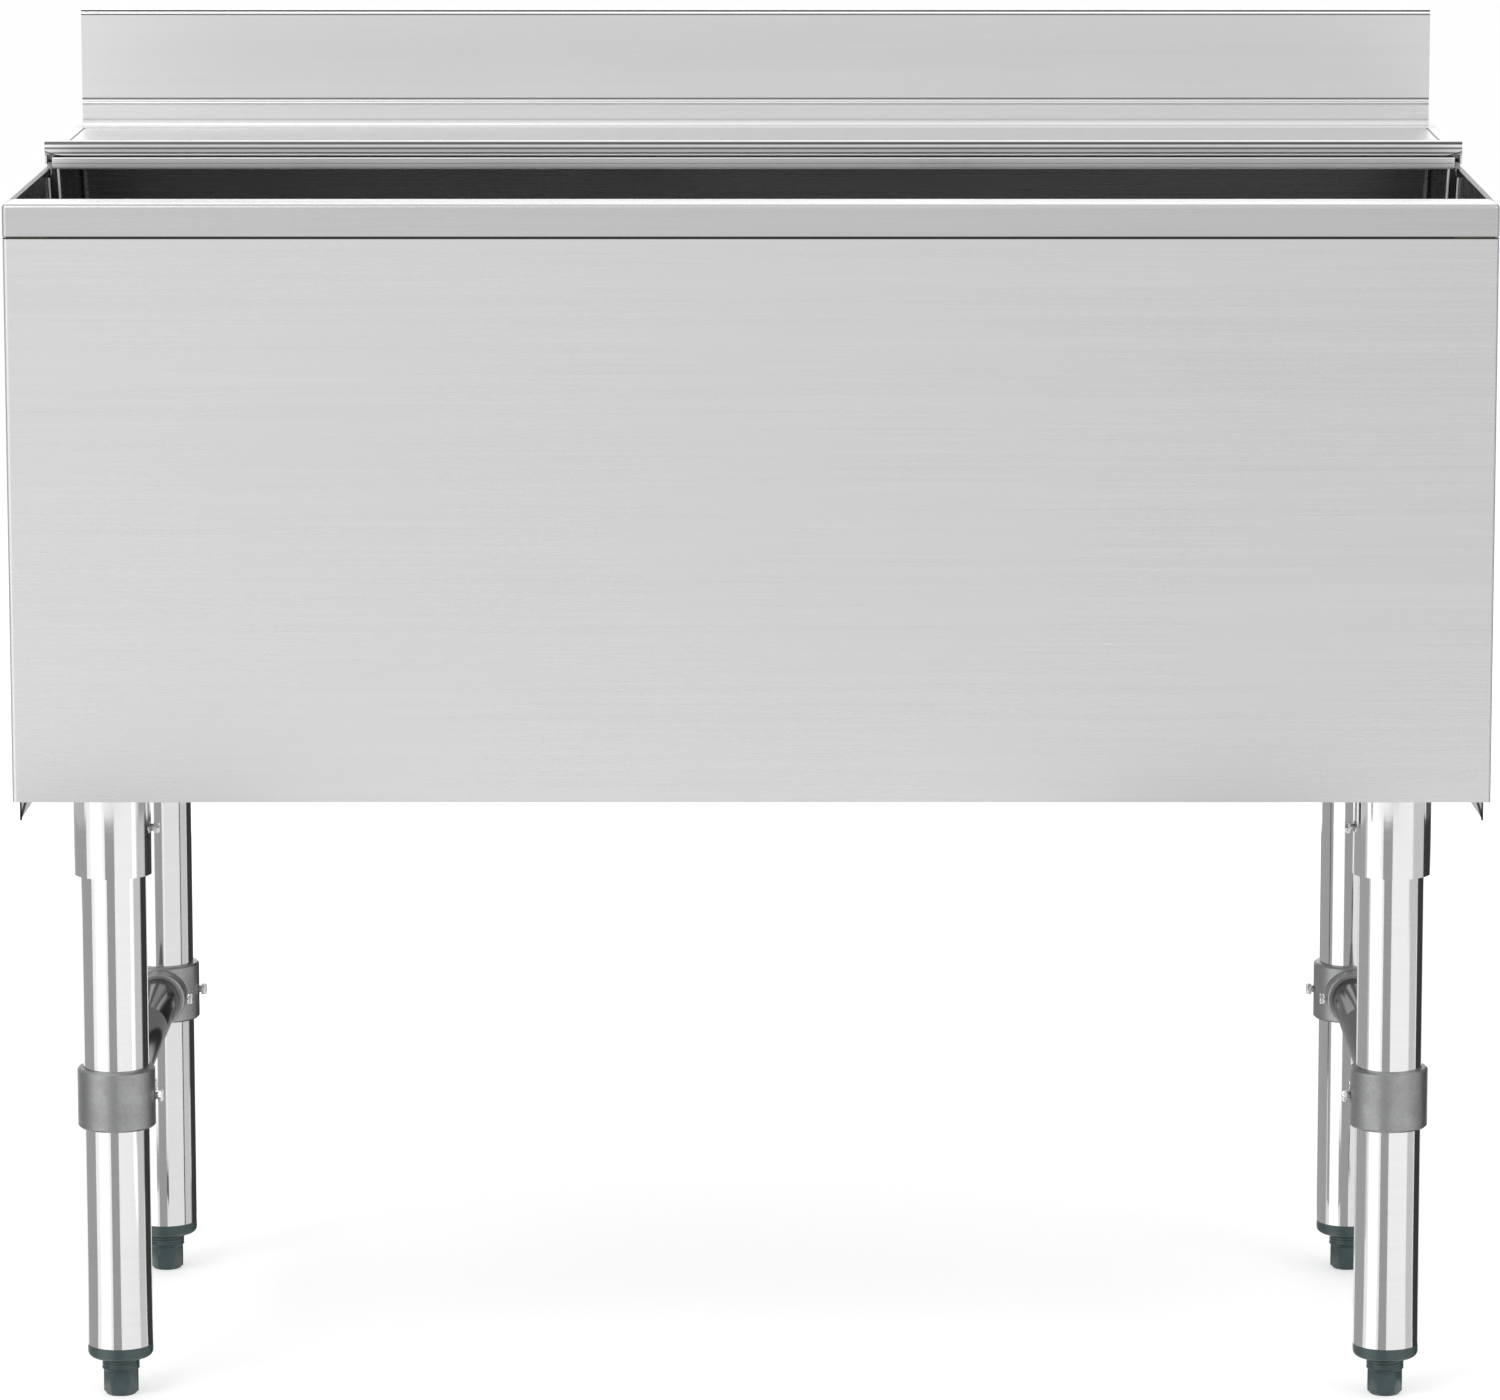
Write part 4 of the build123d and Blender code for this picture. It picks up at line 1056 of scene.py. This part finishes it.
@dataclass(frozen=True)
class Card:
    """An upright card that only reflections show, between two bearings round a point.

    A bearing is in degrees from straight in front of the bin, positive to the right.
    """

    name: str
    start: float
    end: float
    glow: float
    distance: float = 2.8
    top: float = 2.6
    middle: tuple[float, float] = (0.0, 0.0)
    flap_from: float = 2.0
    flap_height: float = 0.003

    def build(self) -> None:
        """Makes the card and the flap that lies on the floor from it towards its point."""
        bearings = np.radians(np.array((self.start, self.end)))
        across, ahead = np.sin(bearings), -np.cos(bearings)
        x = self.middle[0] + self.distance * across
        y = self.middle[1] + self.distance * ahead
        near_x = self.middle[0] + self.flap_from * across
        near_y = self.middle[1] + self.flap_from * ahead
        low = self.flap_height
        corners = [(x[0], y[0], low), (x[1], y[1], low), (x[1], y[1], self.top),
                   (x[0], y[0], self.top), (near_x[0], near_y[0], low),
                   (near_x[1], near_y[1], low)]
        card = stage_mesh(self.name, corners, [(0, 1, 2, 3), (0, 1, 5, 4)], True)
        card.data.materials.append(glowing_material(self.name, self.glow))


LEG_BANDS = (("grey", -140.0, -81.0, 0.44), ("bright", -66.0, -31.0, 1.5),
             ("front", -23.0, 4.0, 0.42), ("side", 72.0, 102.0, 0.72),
             ("dark", 106.0, 152.0, 0.05))
PALE_BAND = ("pale", 10.0, 68.0, 1.0)


@dataclass(frozen=True)
class LegCards:
    """Low cards round a left and a right leg, for the bands that the photograph's tubes have.

    Aim is the bearing of the camera as the left leg sees it. The rear legs' cards stand close,
    so that they hide the front legs' cards.
    """

    end: str
    y: float
    distance: float
    top: float
    aim: float
    bands: tuple[tuple[str, float, float, float], ...]
    x: float = 0.401
    flap_from: float = 0.024

    def cards(self) -> tuple[Card, ...]:
        """Gives the cards of the left leg and then those of the right leg."""
        return tuple(
            Card(f"{self.end}_{side}_{name}_card", start + turn * self.aim,
                 stop + turn * self.aim, glow, self.distance, self.top,
                 (-turn * self.x, self.y), self.flap_from)
            for side, turn in (("left", 1.0), ("right", -1.0))
            for name, start, stop, glow in self.bands)


FRONT_CARDS = LegCards("front", -0.175, 0.38, 0.31, 5.5, LEG_BANDS)
REAR_CARDS = LegCards("rear", 0.157, 0.13, 0.36, 5.0, (*LEG_BANDS, PALE_BAND))


@dataclass(frozen=True)
class FloorCard:
    """A low card in front of the bin that only reflections show, brighter at its left."""

    name: str = "floor_card"
    half_width: float = 4.0
    near: float = -2.3
    far: float = -9.0
    height: float = 0.004
    reach: float = 0.9
    left_glow: float = 1.13
    right_glow: float = 0.80

    def build(self) -> None:
        """Makes the card, whose glow falls evenly between minus and plus its reach in X."""
        corners = [(-self.half_width, self.far, self.height),
                   (self.half_width, self.far, self.height),
                   (self.half_width, self.near, self.height),
                   (-self.half_width, self.near, self.height)]
        card = stage_mesh(self.name, corners, reflected_only=True)
        made, nodes = blank_material(self.name)
        split = nodes.add("ShaderNodeSeparateXYZ")
        nodes.join(nodes.add("ShaderNodeTexCoord").outputs["Object"], split.inputs[0])
        glow = nodes.spread(split.outputs["X"], self.left_glow, self.right_glow,
                            -self.reach, self.reach)
        shader = nodes.add("ShaderNodeEmission", Color=(1.0, 1.0, 1.0, 1.0))
        nodes.join(glow, shader.inputs["Strength"])
        output = nodes.add("ShaderNodeOutputMaterial")
        nodes.join(shader.outputs[0], output.inputs["Surface"])
        card.data.materials.append(made)


@dataclass(frozen=True)
class Lamp:
    """A soft lamp that faces the middle of the bin."""

    name: str
    place: Triple
    size: tuple[float, float]
    power: float
    target: Triple = (0.0, 0.0, 0.5)

    def build(self) -> None:
        """Makes the lamp and turns it to the bin."""
        data = bpy.data.lights.new(self.name, "AREA")
        data.shape = "RECTANGLE"
        data.size, data.size_y = self.size
        data.energy = self.power
        lamp = bpy.data.objects.new(self.name, data)
        bpy.context.scene.collection.objects.link(lamp)
        lamp.location = self.place
        aim = np.array(self.target) - np.array(self.place)
        flat = math.hypot(aim[0], aim[1])
        lamp.rotation_euler = (math.atan2(flat, -aim[2]), 0.0, math.atan2(-aim[0], aim[1]))
        lamp.visible_camera = False


def stage_mesh(name: str, corners: list[Triple], faces: list[tuple[int, ...]] | None = None,
               reflected_only: bool = False) -> bpy.types.Object:
    """Makes an object that isn't part of the bin.

    Args:
        name: the object's name.
        corners: its corners.
        faces: its faces, or one face of all the corners in order.
        reflected_only: whether only reflections show it.

    Returns:
        The new object.
    """
    mesh = bpy.data.meshes.new(name)
    mesh.from_pydata(corners, [], faces or [tuple(range(len(corners)))])
    made = bpy.data.objects.new(name, mesh)
    bpy.context.scene.collection.objects.link(made)
    if reflected_only:
        made.visible_camera = False
        made.visible_diffuse = False
        made.visible_shadow = False
    return made


def glowing_material(name: str, glow: float) -> bpy.types.Material:
    """Makes a material that only gives an even tone of its own.

    Args:
        name: the material's name.
        glow: its strength, where 1 is white.

    Returns:
        The new material.
    """
    made, nodes = blank_material(name)
    shader = nodes.add("ShaderNodeEmission", Color=(1.0, 1.0, 1.0, 1.0), Strength=glow)
    output = nodes.add("ShaderNodeOutputMaterial")
    nodes.join(shader.outputs[0], output.inputs["Surface"])
    return made


@dataclass
class Studio:
    """A pale floor, a white surround, soft lamps and the cards that the tubes reflect."""

    floor_half: float = 14.0
    floor_tone: float = 0.90
    floor_lift: float = 0.43
    surround_fill: float = 0.62
    lamps: tuple[Lamp, ...] = (
        Lamp("key_lamp", (-1.8, -2.4, 3.2), (2.2, 1.6), 36.0),
        Lamp("fill_lamp", (2.4, -2.0, 2.4), (1.6, 1.6), 9.0),
        Lamp("back_lamp", (0.0, 3.0, 2.1), (3.0, 1.0), 18.0),
    )
    cards: tuple[Card | FloorCard, ...] = (
        FloorCard(),
        Card("left_grey_card", -140.0, -81.0, 0.60),
        Card("left_bright_card", -64.0, -33.0, 1.5),
        Card("right_grey_card", 62.0, 102.0, 0.75),
        Card("right_dark_card", 106.0, 152.0, 0.12),
        Card("left_rail_card", 162.0, 200.0, 0.38, 0.62, 0.22, (-0.24, 0.0), 0.16),
        Card("right_rail_card", 160.0, 198.0, 0.38, 0.62, 0.22, (0.24, 0.0), 0.16),
        *FRONT_CARDS.cards(),
        *REAR_CARDS.cards(),
    )

    def build(self) -> None:
        """Makes the surround, the floor, the lamps and the cards."""
        self.surround()
        self.floor()
        for item in self.lamps + self.cards:
            item.build()

    def surround(self) -> None:
        """Makes a world that is white to the eye and to metal, and softer as a light."""
        world = bpy.data.worlds.new("white_surround")
        bpy.context.scene.world = world
        world.use_nodes = True
        world.node_tree.nodes.clear()
        nodes = Nodes(world.node_tree)
        strength = nodes.spread(seen_directly(nodes), self.surround_fill, 1.0, 0.0, 1.0)
        glow = nodes.add("ShaderNodeBackground", Color=(1.0, 1.0, 1.0, 1.0))
        nodes.join(strength, glow.inputs["Strength"])
        output = nodes.add("ShaderNodeOutputWorld")
        nodes.join(glow.outputs[0], output.inputs["Surface"])

    def floor(self) -> None:
        """Makes the pale floor, lifted to white for the eye and for metal."""
        half = self.floor_half
        floor = stage_mesh("floor", [(-half, -half, 0.0), (half, -half, 0.0),
                                     (half, half, 0.0), (-half, half, 0.0)])
        made, nodes = blank_material("floor_pale")
        tone = (self.floor_tone, self.floor_tone, self.floor_tone, 1.0)
        shader = nodes.add("ShaderNodeBsdfPrincipled", Base_Color=tone, Roughness=0.95,
                           Specular_IOR_Level=0.0, Emission_Color=(1.0, 1.0, 1.0, 1.0))
        lift = nodes.math("MULTIPLY", seen_directly(nodes), self.floor_lift)
        nodes.join(lift, shader.inputs["Emission Strength"])
        output = nodes.add("ShaderNodeOutputMaterial")
        nodes.join(shader.outputs[0], output.inputs["Surface"])
        floor.data.materials.append(made)


def seen_directly(nodes: Nodes) -> bpy.types.NodeSocket:
    """Gives 1 for camera, glossy and transmission rays, and 0 for other light."""
    path = nodes.add("ShaderNodeLightPath")
    seen = nodes.math("ADD", path.outputs["Is Camera Ray"], path.outputs["Is Glossy Ray"])
    seen = nodes.math("ADD", seen, path.outputs["Is Transmission Ray"])
    return nodes.math("MINIMUM", seen, 1.0)


@dataclass
class Viewpoint:
    """The photograph's camera."""

    place: Triple = (0.0362, -4.65, 1.1877)
    tilt: float = 9.4141
    focal_share: float = 7257.4 / PHOTO_WIDTH
    shift: float = -60.0 / PHOTO_WIDTH
    sensor: float = 36.0
    clip_end: float = 100.0

    def build(self) -> None:
        """Makes the camera and gives it to the scene."""
        data = bpy.data.cameras.new("front_camera")
        data.sensor_width = self.sensor
        data.lens = self.sensor * self.focal_share
        data.shift_x = self.shift
        data.clip_end = self.clip_end
        camera = bpy.data.objects.new("front_camera", data)
        bpy.context.scene.collection.objects.link(camera)
        camera.location = self.place
        camera.rotation_euler = (math.radians(90.0 - self.tilt), 0.0, 0.0)
        bpy.context.scene.camera = camera


def main() -> None:
    """Dresses the bin, builds its close-up pieces and sets up the studio."""
    logging.basicConfig(level=logging.INFO, format="%(name)s: %(message)s")
    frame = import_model()
    bpy.context.scene.view_settings.view_transform = "Standard"
    wardrobe = Wardrobe()
    wardrobe.dress_nodes(frame["nodes"])
    for piece in close_up_pieces():
        piece.build(wardrobe)
    Studio().build()
    Viewpoint().build()


if __name__ == "__main__":
    main()
